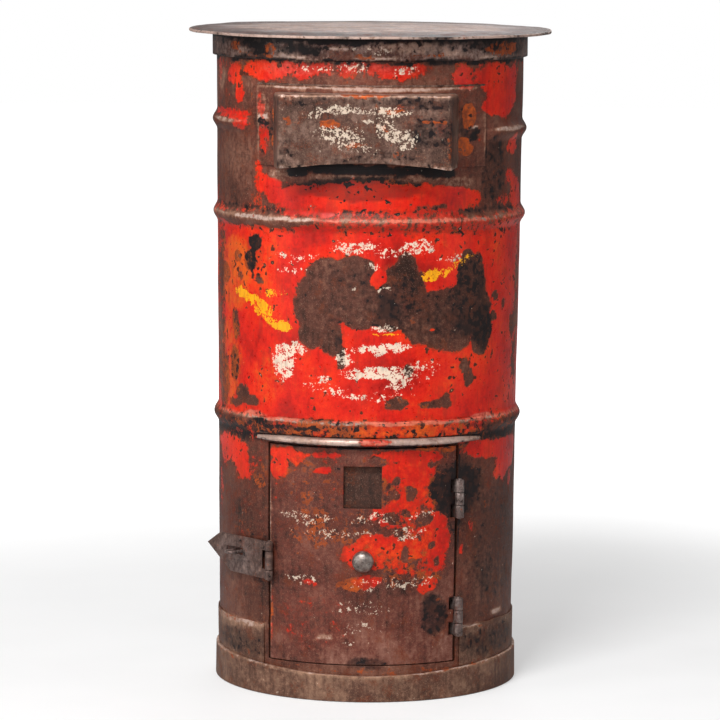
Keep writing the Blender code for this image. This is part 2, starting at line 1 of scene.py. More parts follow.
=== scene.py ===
"""Looks of a free-standing cylindrical letter box: chipped red paint over rusty sheet steel.

The box's axis is Z, and its door and letter slot face -Y. An azimuth is in degrees from the
front, and grows towards the door's hinges at +X. Lengths are in metres.
"""

import math

import bmesh
import bpy
import numpy as np
from mathutils import Matrix, Vector, noise


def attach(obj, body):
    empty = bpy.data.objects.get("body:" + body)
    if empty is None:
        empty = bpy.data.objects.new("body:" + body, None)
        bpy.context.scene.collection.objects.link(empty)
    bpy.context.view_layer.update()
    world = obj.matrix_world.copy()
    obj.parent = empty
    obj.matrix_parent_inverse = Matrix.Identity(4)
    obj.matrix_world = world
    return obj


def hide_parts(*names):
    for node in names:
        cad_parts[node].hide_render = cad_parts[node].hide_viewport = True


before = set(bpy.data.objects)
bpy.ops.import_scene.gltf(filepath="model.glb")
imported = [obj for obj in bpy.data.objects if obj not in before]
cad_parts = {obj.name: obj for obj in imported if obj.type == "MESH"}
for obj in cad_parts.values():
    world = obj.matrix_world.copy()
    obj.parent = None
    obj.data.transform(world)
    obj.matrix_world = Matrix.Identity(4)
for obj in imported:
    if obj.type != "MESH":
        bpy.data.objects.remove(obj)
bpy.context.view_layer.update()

noise.seed_set(1)  # or noise_vector, which sways the welds, is seeded from the clock

# Driving dimensions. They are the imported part's, apart from those of the beads, rim, hood, drip
# rail, window and knob, which follow the photo's outline a little more closely, the foot band's
# dip, and the notches and hinge leaves, which leave room for the joints.
HEIGHT = 0.900
FOOT_RADIUS = 0.2022
TOP_RADIUS = 0.2111
SHEET = 0.003
GAP = 0.0003

BEAD_HALF_HEIGHT = 0.0152
BEAD_PROUD = 0.0064
FLAT_HALF_ANGLE = 48.0
FLAT_FADE = 6.0
UPPER_BEAD_Z = 0.7686
UPPER_BEAD_TILT = 0.0050
MIDDLE_BEAD_Z = 0.6468
LOWER_BEAD_Z = 0.3694

LID_RADIUS = 0.250
LID_SHEET = 0.0035
LID_CROWN = 0.0025
RIM_RADIUS = 0.2168
RIM_BOTTOM_Z = 0.861
WALL_TOP_Z = 0.8935
FOOT_BAND_RADIUS = 0.2088
FOOT_BAND_TOP_Z = 0.045
FOOT_BAND_SHEET = 0.0054
FOOT_BAND_DIP = 0.0100
WRAP_TOP_Z = 0.095
WRAP_SHEET = 0.002
WRAP_FROM, WRAP_TO = 38.5, 317.5

SLOT_HALF_ANGLE = 27.0
SLOT_Z = (0.747, 0.783)
WALL_HOLE_HALF_ANGLE = 31.0
WALL_HOLE_Z = (0.738, 0.794)
SLOT_PLATE_FROM, SLOT_PLATE_TO = -45.5, 47.0
SLOT_PLATE_Z = (0.720, 0.828)
SLOT_PLATE_SHEET = 0.002
HOOD_AZIMUTH = -1.8
HOOD_HALF_WIDTH = 0.1145
HOOD_FLARE = 0.0040
HOOD_FACE = 0.235
HOOD_Z = (0.720, 0.818)
HOOD_ARCH = 0.008
HOOD_BEND = 0.0035
HOOD_SHEET = 0.0028
HOOD_BOX_DEPTH = 0.030  # nominal: each cheek is drawn out from this to reach the wall

HEADER_FROM, HEADER_TO = -44.7, 47.5
HEADER_Z = (0.359, 0.381)
HEADER_SHEET = 0.0045
RAIL_FROM, RAIL_TO = -46.0, 47.5
RAIL_Z = 0.3538
RAIL_THICKNESS = 0.0094
RAIL_WIDTH = 0.0115

HINGE_AZIMUTH = 36.2
DOOR_FROM, DOOR_TO = -39.4, 35.5
OPENING_FROM, OPENING_TO = -40.6, 36.9
OPENING_Z = (0.0485, 0.346)
DOOR_Z = (0.050, 0.3445)
RETURN_DEPTH = 0.022
RETURN_ANGLE = 0.55
RETURN_INSET = 0.1
RETURN_FOOT_Z = 0.0625
WINDOW_AZIMUTH = -1.7
WINDOW_HALF_WIDTH = 0.0258
WINDOW_Z = (0.263, 0.320)

HINGE_RADIUS = 0.2113
HINGE_MIDDLES = {"upper": 0.2725, "lower": 0.1110}
HINGE_HEIGHT = 0.052
BARREL_RADIUS = 0.006
PIN_RADIUS = 0.0028
LEAF_SHEET = 0.0015
LEAF_DEPTH = 0.026
LEAF_START = 0.004
TAB_DEPTH = 0.010
MIDDLE_KNUCKLE = 0.017
KNUCKLE_GAP = 0.0005
NOTCH_FROM = 33.5  # the door is cut back to here beside the hinges' fixed knuckles

KNOB_AZIMUTH = -1.4
KNOB_Z = 0.192
KNOB_RADIUS = 0.0147
KNOB_HEIGHT = 0.0135
KNOB_SEAT = 0.0010
KNOB_RIM = 0.003
SHANK_RADIUS = 0.004
SHANK_LENGTH = 0.016

HASP_AZIMUTH = -38.5
HASP_RADIUS = 0.2115
HASP_Z = 0.185
HASP_HALF_HEIGHT = 0.026
HASP_BARREL_RADIUS = 0.0055
HASP_PIN_RADIUS = 0.0023
HASP_KNUCKLE_HALF = 0.0125
HASP_NOTCH = 0.0142
HASP_LEAF_DEPTH = 0.018
STRAP_AZIMUTH = -48.16
STRAP_SHEET = 0.0025
STRAP_OUTLINE = (
    (0.0, -0.026), (0.079, -0.025), (0.1075, -0.006), (0.129, 0.009), (0.102, 0.026), (0.0, 0.026),
)
STRAP_SLOT = (0.0538, 0.0885)
STRAP_SLOT_HALF_HEIGHT = 0.0048
STAPLE_AZIMUTH = -56.0
STAPLE_Z = 0.190
STAPLE_WIRE = 0.00225
STAPLE_HALF_WIDTH = 0.007
STAPLE_INNER = 0.194
STAPLE_BEND = 0.2217

# Mesh steps and edge bevels
FRONT_STEP = 1.2  # degrees of azimuth, over the front
BACK_STEP = 3.0
FRONT_HALF_ANGLE = 96.0
ROW_STEP = 0.0045
BEAD_ROW_STEP = 0.0016
HOOD_STEP = 0.0035
WELD_STEP = 0.35  # degrees
EDGE_BEVEL = 0.0005
FINE_BEVEL = 0.0003
SHARP_ANGLE = 38.0
NOISE_RADIUS = 0.21  # noise that belongs to the wall is read on this cylinder
AXIS_HOLE = 0.0002  # turned profiles end this close to their axis

# Waves, dents and wear. Waves, drift and swell are each the size of their features and how much
# they move.
WALL_WAVES = ((0.11, 0.0008), (0.035, 0.00025))
BEAD_DRIFT = (0.09, 0.0011)
BEAD_SWELL = (0.05, 0.16)
CRUMPLE = 0.0034  # how far the crumpled metal at the flattened beads' ends stands in and out
CRUMPLE_FROM = (46.5, 49.0)
CRUMPLE_AZIMUTH, CRUMPLE_HALF_ANGLE = 50, 4.5
CRUMPLE_HALF_HEIGHT = 0.011
DENTS = ((-42.5, 0.776), (41.0, 0.764))  # azimuth and height of each, in the slot plate
DENT_HALF_ANGLE, DENT_HALF_HEIGHT = 3.6, 0.011
RIDGES = (-38.0, 35.5)
RIDGE_HEIGHT, RIDGE_HALF_ANGLE = 0.0007, 0.8
DOOR_LIPS = ((DOOR_FROM, 0.0006), (DOOR_TO, 0.0004))  # how far each edge stands proud
DOOR_LIP_HALF_ANGLE = 0.9
WINDOW_PRESS = 0.0006  # the door is pressed in this far round its window
WINDOW_PRESS_HALF_ANGLE, WINDOW_PRESS_REACH = 1.2, 0.004
LID_LIFT = 0.0020  # the lid's lip stands this much higher behind, and lower in front
LID_LEAN = (-0.0040, 0.0022)


# Smooth noise and the wall's own shape


def wander(points, size, seed):
    """Smooth noise from -1 to 1 at each point, with features of about this size."""
    shift = Vector((seed * 7.31, seed * 3.17, seed * 5.73))
    return np.array([noise.noise(Vector(point) / size + shift) for point in points])


def polar(azimuth, radius, z):
    angle = np.radians(azimuth)
    return np.stack([radius * np.sin(angle), -radius * np.cos(angle), z + 0 * angle], axis=-1)


def azimuth_of(points):
    return np.degrees(np.arctan2(points[:, 0], -points[:, 1]))


def wall_radius(z):
    return FOOT_RADIUS + (TOP_RADIUS - FOOT_RADIUS) * z / HEIGHT


def smooth(value, low, high):
    share = np.clip((value - low) / (high - low), 0.0, 1.0)
    return share * share * (3 - 2 * share)


def hump(offset, reach):
    """A smooth hump, 1 where the offset is 0."""
    return np.exp(-(offset / reach) ** 2)


def wander_at(azimuth, z, size, seed):
    """Smooth noise at places on the wall, in the shape of their azimuths."""
    points = polar(azimuth, NOISE_RADIUS, z).reshape(-1, 3)
    return wander(points, size, seed).reshape(np.shape(azimuth))


def undulation(azimuth, z):
    """Shallow waves of the whole wall, which every piece that lies on it follows."""
    points = polar(azimuth, wall_radius(z), z).reshape(-1, 3)
    waves = enumerate(WALL_WAVES, 1)
    height = sum(height * wander(points, size, seed) for seed, (size, height) in waves)
    return height.reshape(np.shape(azimuth))


def bead(azimuth, z):
    """How far the swaged beads stand out; two of them are beaten flat at the front."""
    away = np.abs(azimuth)
    rounded = smooth(away, FLAT_HALF_ANGLE, FLAT_HALF_ANGLE + FLAT_FADE)
    out = np.zeros(np.shape(azimuth))
    middles = (
        (UPPER_BEAD_Z - UPPER_BEAD_TILT * np.sin(np.radians(azimuth)), rounded),
        (MIDDLE_BEAD_Z, 1.0),
        (LOWER_BEAD_Z, rounded),
    )
    for seed, (middle, share) in enumerate(middles):
        drift = BEAD_DRIFT[1] * wander_at(azimuth, 0.0, BEAD_DRIFT[0], 11 + seed)
        swell = 1.0 - BEAD_SWELL[1] * np.abs(wander_at(azimuth, 0.0, BEAD_SWELL[0], 21 + seed))
        offset = np.clip(np.abs(z - middle - drift) / BEAD_HALF_HEIGHT, 0, 1)
        out += BEAD_PROUD * share * swell * np.cos(offset * math.pi / 2) ** 2
    return out


def plain_wall(distance):
    return lambda azimuth, z: wall_radius(z) + distance + undulation(azimuth, z)


# Meshes


def link(name, data):
    thing = bpy.data.objects.new(name, data)
    bpy.context.scene.collection.objects.link(thing)
    return thing


def from_bmesh(name, shape):
    mesh = bpy.data.meshes.new(name)
    shape.to_mesh(mesh)
    shape.free()
    return link(name, mesh)


def smoothed(thing, sharp_angle=SHARP_ANGLE):
    thing.data.shade_smooth()
    thing.data.set_sharp_from_angle(angle=math.radians(sharp_angle))
    return thing


def finish_mesh(name, vertices, faces, sharp_angle=SHARP_ANGLE):
    mesh = bpy.data.meshes.new(name)
    mesh.from_pydata([tuple(v) for v in vertices], [], [tuple(f) for f in faces])
    shape = bmesh.new()
    shape.from_mesh(mesh)
    bmesh.ops.recalc_face_normals(shape, faces=shape.faces)
    shape.to_mesh(mesh)
    shape.free()
    return smoothed(link(name, mesh), sharp_angle)


def bevel(thing, width=EDGE_BEVEL, segments=2, angle=45.0):
    step = thing.modifiers.new("worn_edges", "BEVEL")
    step.width = width
    step.segments = segments
    step.limit_method = "ANGLE"
    step.angle_limit = math.radians(angle)
    return thing


def steps(low, high, step, *stops):
    """Evenly spaced values from low to high that also land on the stops."""
    marks = sorted({low, high, *(stop for stop in stops if low < stop < high)})
    values = []
    for start, end in zip(marks, marks[1:]):
        count = max(1, round((end - start) / step))
        values += [start + (end - start) * i / count for i in range(count)]
    return np.array(values + [marks[-1]])


def sheet(name, azimuths, heights, outer, thickness, keep=None, edge=None):
    """A closed sheet round the box's axis.

    outer(azimuth, z) is the radius of its outside, and keep(azimuth, z) tells which cells of
    the grid stay. Azimuths that go all the way round don't repeat the first one. edge(azimuth,
    z) moves the heights, for a wavy rim.
    """
    wraps = azimuths[-1] - azimuths[0] > 350
    across, up = np.meshgrid(azimuths, heights)
    if edge is not None:
        up = edge(across, up)
    radius = outer(across, up)
    outside = polar(across, radius, up)
    inside = polar(across, radius - thickness, up)
    vertices = np.concatenate([outside.reshape(-1, 3), inside.reshape(-1, 3)])
    rows, columns = across.shape
    behind = rows * columns
    faces, edges = [], set()
    for row in range(rows - 1):
        for column in range(columns if wraps else columns - 1):
            beside = (column + 1) % columns
            step = azimuths[beside] - azimuths[column]
            middle = azimuths[column] + (step % 360) / 2
            if keep is not None and not keep(middle, (heights[row] + heights[row + 1]) / 2):
                continue
            a, b = row * columns + column, row * columns + beside
            c, d = b + columns, a + columns
            faces.append((a, b, c, d))
            edges.update([(a, b), (b, c), (c, d), (d, a)])
    rims = [(b, a, a + behind, b + behind) for a, b in sorted(edges) if (b, a) not in edges]
    faces += [tuple(i + behind for i in reversed(face)) for face in faces]
    faces += rims
    used = np.unique(np.array(faces))
    place = np.zeros(len(vertices), int)
    place[used] = np.arange(len(used))
    return finish_mesh(name, vertices[used], place[np.array(faces)])


def tube(name, rings, sharp_angle=SHARP_ANGLE):
    """A closed skin through rings of points, capped at both ends."""
    rings = np.array(rings)
    count, around = rings.shape[:2]
    faces = []
    for i in range(count - 1):
        for j in range(around):
            k = (j + 1) % around
            near, far = i * around, (i + 1) * around
            faces.append((near + j, near + k, far + k, far + j))
    faces.append(tuple(range(around - 1, -1, -1)))
    faces.append(tuple(range((count - 1) * around, count * around)))
    return finish_mesh(name, rings.reshape(-1, 3), faces, sharp_angle)


def wire_rings(route, radius, around=14):
    """Rings of a round wire along a route of points; radius may change along it."""
    route = [Vector(point) for point in route]
    radii = radius if hasattr(radius, "__len__") else [radius] * len(route)
    side, rings = None, []
    for i, point in enumerate(route):
        ahead = (route[min(i + 1, len(route) - 1)] - route[max(i - 1, 0)]).normalized()
        side = ahead.orthogonal() if side is None else side - ahead * side.dot(ahead)
        side.normalize()
        up = ahead.cross(side)
        turns = [2 * math.pi * j / around for j in range(around)]
        rings.append([point + (side * math.cos(t) + up * math.sin(t)) * radii[i] for t in turns])
    return rings


def turned(name, profile, around):
    """A solid turned about Z from (radius, height) points, its ends closed."""
    turns = [2 * math.pi * j / around for j in range(around)]
    rings = [[(r * math.cos(t), r * math.sin(t), h) for t in turns] for r, h in profile]
    return tube(name, rings)


def plate(name, low, high):
    shape = bmesh.new()
    bmesh.ops.create_cube(shape, size=1.0)
    for vert in shape.verts:
        vert.co = [(low[i] + high[i]) / 2 + vert.co[i] * (high[i] - low[i]) for i in range(3)]
    return from_bmesh(name, shape)


def at_wall(azimuth, radius, z):
    """A local frame at the wall whose +Y points at the box's axis."""
    angle = math.radians(azimuth)
    there = Matrix.Translation((radius * math.sin(angle), -radius * math.cos(angle), z))
    return there @ Matrix.Rotation(angle, 4, "Z")


def settle(thing, matrix):
    """Put a piece made in a local frame in its place, with the place in its mesh."""
    thing.data.transform(matrix)
    return thing


def apply_modifiers(thing):
    bpy.context.view_layer.update()
    evaluated = thing.evaluated_get(bpy.context.evaluated_depsgraph_get())
    made = bpy.data.meshes.new_from_object(evaluated)
    thing.modifiers.clear()
    old, thing.data = thing.data, made
    bpy.data.meshes.remove(old)
    return thing


def merged(name, pieces):
    """One object from several, each of which stays a closed body of its own."""
    shape = bmesh.new()
    for piece in pieces:
        apply_modifiers(piece)
        shape.from_mesh(piece.data)
        bpy.data.objects.remove(piece)
    return from_bmesh(name, shape)


# Where the paint is, in degrees, millimetres and percent. A row by height is (z, level). A patch is
# (azimuth, z, half width, half height, level) and an optional tilt. A level of 100 is sound paint,
# 50 is half flaked off and 0 is none. The dark tables also hold painted shade and painted shadows,
# and the chalk tables painted highlights, mostly at levels of 100 and more.

BARE = 0
RED_BY_HEIGHT = (
    (0, 2), (90, 5), (140, 12), (240, 20), (340, 28), (375, 45), (390, 92), (620, 94), (632, 66),
    (660, 42), (700, 22), (820, 22), (845, 44), (857, 42), (862, 6), (900, 2),
)
RED = (
    # Under the rim
    (-73, 846, 5, 13, 48), (-60, 838, 5, 14, 80), (-57, 815, 2.6, 14, 85), (-51, 842, 3, 7, 72),
    (-42, 845, 10, 11, 80), (-24, 848, 12, 10, 66), (0, 850, 12, 7, 58), (13, 845, 9, 10, 68),
    (23, 838, 6, 10, 42), (0, 832, 28, 6, 22), (38, 838, 7, 13, 80), (56, 832, 11, 21, 110),
    (57, 803, 11, 18, 110), (66, 822, 4, 28, 95), (77, 840, 4, 20, 20),
    # Beside the hood
    (-65, 785, 16, 6, 62), (-55, 773, 5, 9, 62), (-43, 800, 2, 18, 55), (-42, 758, 3, 26, 62),
    (-37, 765, 1.2, 30, 10), (41, 800, 3, 16, 30),
    # Round the foot of the hood
    (-48, 716, 4, 9, 90), (-45, 703, 5, 8, 85), (-40, 693, 6, 10, 90), (0, 683, 30, 17, 105),
    (-25, 678, 15, 12, 95), (35, 680, 11, 13, 90), (24, 688, 12, 9, 95), (0, 661, 38, 5, 55),
    (-62, 710, 15, 45, 2), (53, 712, 8, 45, 6), (68, 745, 6, 14, 72), (66, 702, 5, 12, 74),
    (73, 680, 7, 20, 78), (60, 672, 5, 6, 55),
    # Middle bead
    (-50, 646, 34, 8, 22), (12, 648, 34, 6, 55),
    # Beside the large bare patch
    (-76, 600, 7, 55, 50), (-77, 500, 7, 100, 42), (66, 500, 7, 100, 78), (-58, 592, 2.4, 7, 10),
    (-57, 567, 2.0, 6, 20), (-70, 568, 5, 14, 15), (-47.5, 613, 3.6, 9, BARE),
    (-50, 590, 3.4, 13, BARE), (-45, 564, 1.8, 4, BARE), (-60, 500, 3, 20, 35),
    (-61, 445, 3.5, 26, 28), (-56, 407, 4, 11, 10), (-50, 397, 5, 7, 15), (-61, 393, 5, 6, 30),
    (-72, 420, 6, 40, 35),
    # The large bare patch
    (-20, 537, 8.5, 42, BARE), (-16, 577, 7, 21, BARE), (-6, 588, 7, 15, BARE),
    (-22, 500, 4.5, 20, BARE), (-14, 490, 4.5, 22, BARE), (-10, 466, 1.6, 13, BARE),
    (-7, 550, 9, 35, BARE), (-4, 518, 6, 12, BARE), (4, 535, 8, 24, BARE), (9, 560, 5, 30, BARE),
    (14, 588, 4, 20, BARE), (17, 555, 5, 30, BARE), (9, 518, 6, 14, BARE), (17, 510, 4, 26, BARE),
    (24, 532, 5, 26, BARE), (25, 500, 7, 22, BARE), (33, 492, 8, 22, BARE), (33, 530, 8, 28, BARE),
    (39, 565, 4.6, 38, BARE), (39, 598, 2.6, 11, BARE), (44, 560, 4.6, 38, BARE),
    (46, 522, 6, 28, BARE), (48, 497, 5.5, 22, BARE), (46, 477, 4, 13, BARE),
    (54, 516, 2.6, 5, BARE), (3.4, 573, 2.8, 9, 100), (25, 503, 1.4, 3, 80),
    # Bare spots round it
    (56, 541, 2.2, 8, BARE), (62, 530, 1.5, 6, 25), (39, 453, 1.6, 11, BARE),
    (41, 436, 2.0, 11, BARE), (15, 448, 2.0, 10, 5), (11, 404, 4.6, 8, 5), (26, 402, 7, 6, 15),
    (31, 406, 2.6, 11, 20), (72, 500, 4, 20, 35), (78, 550, 5, 80, 42), (76, 450, 4, 30, 42),
    # Lower bead and the strip over the door
    (-66, 367, 18, 9, 30), (66, 367, 18, 9, 26), (-20, 370, 26, 12, 40), (22, 370, 24, 12, 60),
    # Wall beside the door
    (-66, 334, 14, 11, 85), (-60, 318, 8, 11, 80), (-55, 303, 5, 12, 72), (-70, 318, 7, 11, 62),
    (-48, 318, 3, 12, 42), (-77, 262, 2.5, 35, 50), (60, 334, 18, 12, 98), (68, 313, 9, 15, 98),
    (62, 298, 5, 10, 85), (48, 342, 6, 6, 80), (75, 326, 5, 18, 75), (72, 286, 2, 12, 60),
    # Door, upper left
    (-32, 332, 7.5, 8, 88), (-35, 315, 4.6, 14, 85), (-27, 325, 3, 8, 60), (-17, 312, 3.2, 5, 80),
    (-17, 334, 9, 3, 62),
    # Door, right of the window and round the knob
    (15, 331, 14, 9, 80), (12, 312, 8, 18, 75), (20, 300, 9, 24, 80), (15, 276, 8, 18, 75),
    (24, 275, 5, 18, 75), (10, 252, 9, 17, 65), (20, 242, 9, 18, 72), (28, 236, 5, 20, 72),
    (4, 215, 8, 14, 72), (15, 206, 11, 18, 78), (27, 205, 6, 25, 70), (-3, 202, 6, 18, 70),
    (9, 186, 12, 11, 65), (22, 180, 10, 12, 60), (24, 156, 4, 10, 75), (0, 163, 6, 9, 66),
    (-22, 160, 3.6, 5, 66), (31.5, 214, 2.6, 18, 66),
    # Bare spots on the door
    (4, 325, 2.5, 6, 10), (11, 300, 1.6, 5, BARE), (9.5, 279, 2.2, 7, BARE),
    (17, 283, 2.2, 10, BARE), (9, 249, 2.6, 7, BARE), (22.5, 245, 3.2, 8, BARE),
    (15, 256, 1.5, 4, 20), (25, 212, 1.6, 5, BARE), (14.5, 201, 1.4, 12, 5),
    (17.5, 188, 1.6, 7, 5), (7.5, 173, 1.7, 6, BARE), (20, 168, 1.6, 5, BARE),
    (27.5, 190, 1.5, 6, 10), (3.5, 234, 2.0, 5, 15), (24.5, 320, 1.6, 5, 20),
    # Worn round the upper hinge
    (37, 286, 12, 37, BARE), (30.5, 290, 4, 24, BARE), (46, 280, 6, 30, BARE),
    # The back
    (105, 800, 13, 26, 80), (122, 760, 8, 20, 66), (168, 835, 20, 12, 72), (205, 790, 9, 24, 70),
    (222, 735, 12, 22, 62), (248, 812, 9, 20, 66), (150, 700, 16, 20, 58), (128, 565, 8, 36, BARE),
    (118, 520, 6, 26, 8), (141, 590, 6, 16, 15), (163, 455, 5, 30, 10), (172, 432, 8, 12, BARE),
    (192, 575, 11, 20, 12), (203, 552, 6, 18, BARE), (231, 490, 7, 36, BARE),
    (241, 450, 7, 18, 15), (252, 570, 4, 34, 25), (104, 430, 7, 14, 20), (112, 310, 12, 22, 74),
    (126, 275, 6, 22, 66), (172, 325, 14, 14, 70), (182, 292, 6, 20, 60), (214, 300, 12, 30, 72),
    (226, 240, 8, 30, 55), (256, 325, 12, 16, 76), (148, 190, 14, 30, 46), (98, 180, 8, 40, 42),
    # Drips and faint remains lower down
    (44, 228, 0.9, 16, 60, 20), (38.5, 202, 1.4, 10, 60), (-39, 105, 1.0, 45, 42),
    (-20, 110, 18, 45, 30), (10, 90, 14, 40, 16), (61, 205, 16, 75, 2),
)
ORANGE_BY_HEIGHT = (
    (0, 16), (100, 20), (200, 26), (345, 28), (360, 50), (385, 36), (620, 36), (660, 24),
    (830, 22), (860, 18), (900, 18),
)
ORANGE = (
    (-57, 877, 4, 7, 86), (-38.5, 872, 2.6, 9, 90), (56, 876, 11, 10, 66), (-3, 867, 6, 3, 66),
    (20, 868, 8, 3, 50), (-50, 866, 9, 3, 56), (38, 788, 3.6, 18, 86), (37, 746, 3.6, 11, 86),
    (-36, 785, 1.6, 14, 76), (-36, 755, 1.8, 10, 80), (-62, 570, 12, 55, 66),
    (-66, 450, 10, 60, 62), (-40, 430, 8, 30, 50), (0, 370, 46, 11, 56), (15, 168, 15, 12, 60),
    (-5, 160, 6, 10, 70), (30, 342, 14, 4, 60), (-39.5, 100, 1.0, 45, 64), (0, 41.5, 179, 3, 46),
    (-60, 94, 18, 4, 54), (44, 94, 8, 4, 50), (-45, 300, 4, 20, 50), (-22, 300, 15, 30, 44),
    (12, 545, 44, 60, 14), (-20, 540, 12, 55, 18), (14, 250, 20, 80, 46), (-20, 235, 14, 30, 42),
    (14, 290, 9, 30, 50),
)
# The rows at 356, 630, 662 and 859.5 are painted shade under the header strip's lower edge, along
# both edges of the middle bead and under the rim's lower edge, and the rows from 884 up are a
# painted shadow under the lid.
DARK_AND_SHADE_BY_HEIGHT = (
    (0, 22), (100, 20), (340, 24), (356, 95), (361, 60), (370, 56), (377, 30), (382.5, 66),
    (390, 24), (620, 28), (630, 64), (638, 30), (655, 34), (662, 66), (668, 28), (700, 26),
    (855, 28), (859.5, 100), (864, 40), (875, 46), (884, 56), (889, 105), (900, 110),
)
DARK_AND_SHADE = (
    (-46, 879, 7, 6, 100), (-42, 871, 4, 6, 85), (-26, 876, 9, 7, 80), (46, 879, 10, 6, 70),
    # The patches at (39.5, 763), (42.5, 770), (-43.2, 777) and (-40.6, 772) are painted shade in
    # the hollows of the crumpled dents.
    (64, 876, 8, 8, 62), (15, 874, 14, 8, 42), (-5, 870, 10, 5, 50), (39.5, 763, 3.5, 6, 110),
    (42.5, 770, 2.0, 4, 100), (37.5, 785, 4, 28, 56), (-43.2, 777, 2.2, 5, 110),
    (-40.6, 772, 1.6, 6, 95), (-37, 770, 3, 30, 54), (53, 712, 8, 45, 60), (-48, 600, 6, 26, 78),
    (36, 284, 13, 40, 80), (35.5, 235, 3, 30, 60), (15, 545, 38, 55, 50), (-20, 540, 9, 40, 36),
    (4, 532, 9, 18, 72), (14, 562, 6, 36, 58), (14, 590, 3, 10, 30), (26, 495, 10, 20, 44),
    (41, 545, 8, 60, 64), (49, 500, 6, 30, 74), (-10, 490, 3, 30, 60), (62, 200, 22, 90, 44),
    # The two patches at azimuth 36.2 are painted shade in the gap beside the door's hinge edge.
    (27, 115, 6.5, 28, 68), (36.2, 318, 0.9, 26, 100), (36.2, 230, 0.6, 30, 90), (0, 52, 8, 8, 58),
    # The patches at 717.5 and 713 are a painted shadow under the hood, and the one at 690 on the
    # next line is painted shade on the red below it.
    (-24, 368, 22, 6, 70), (-2, 717.5, 29, 6.5, 105), (26, 713, 7, 8, 105), (-28, 713, 5, 7, 95),
    (-4, 690, 26, 17, 90), (58, 70, 22, 22, 54), (-58, 64, 24, 17, 50), (-8, 530, 12, 30, 44),
    # The patch at (-41.7, 185) is painted shade seen through the hasp strap's notch.
    (-30, 369, 12, 2.5, 95), (-44, 374, 4, 4, 95), (44, 370, 5, 3, 90), (-41.7, 185, 1.2, 10, 120),
    # The patch at (-45, 216) is a painted shadow above the hasp strap, and the one at (0, 344.5) a
    # painted shadow along the door's top under the drip rail.
    (-45, 216, 6, 4, 72), (-46, 155, 5, 4, 62), (-61, 440, 4, 28, 66), (0, 344.5, 38, 2, 80),
    (-20, 290, 14, 50, 30),
)
CREAM = (
    (-3, 879, 5, 4, 46), (4, 873, 4, 5, 42), (-19, 851, 9, 5, 36), (-6, 850, 6, 7, 42),
    (13, 850, 5, 6, 44), (-5, 614, 9, 9, 54), (18, 615, 7, 9, 50), (8, 608, 8, 6, 46),
    (-28, 600, 12, 6, 36), (32, 600, 7, 6, 34), (-28, 582, 9, 5, 34), (-33, 458, 5, 26, 58),
    (-28, 476, 5, 9, 54), (-9, 466, 3.4, 12, 56), (5, 478, 11, 8, 60), (2, 447, 12, 10, 60),
    (12, 434, 5, 12, 58), (-17, 438, 3, 7, 56), (20, 450, 7, 16, 36), (2, 415, 15, 6, 38),
    (-16, 425, 9, 8, 34), (6, 506, 6, 5, 54), (1, 590, 3, 7, 50), (-5, 560, 1.6, 3, 60),
    (4, 560, 4, 2, 60), (-24, 248, 12, 9, 37), (2, 248, 8, 10, 34), (22, 250, 6, 8, 36),
    (-14, 228, 18, 8, 33), (15, 229, 7, 10, 36), (-26, 163, 9, 7, 32), (14, 162, 14, 8, 34),
    (0, 158, 6, 8, 32), (-2, 128, 12, 12, 29), (-2, 98, 8, 10, 33), (-7, 78, 3, 5, 33),
)
YELLOW = (
    (-54, 543, 8, 9, 58, -10), (-44, 527, 7, 12, 56, -16), (-36, 507, 7, 10, 58, -14),
    (-38, 546, 5, 7, 50), (26, 578, 7, 9, 56, 12), (37, 594, 7, 6, 50, 10), (5, 499, 8, 3, 54),
)
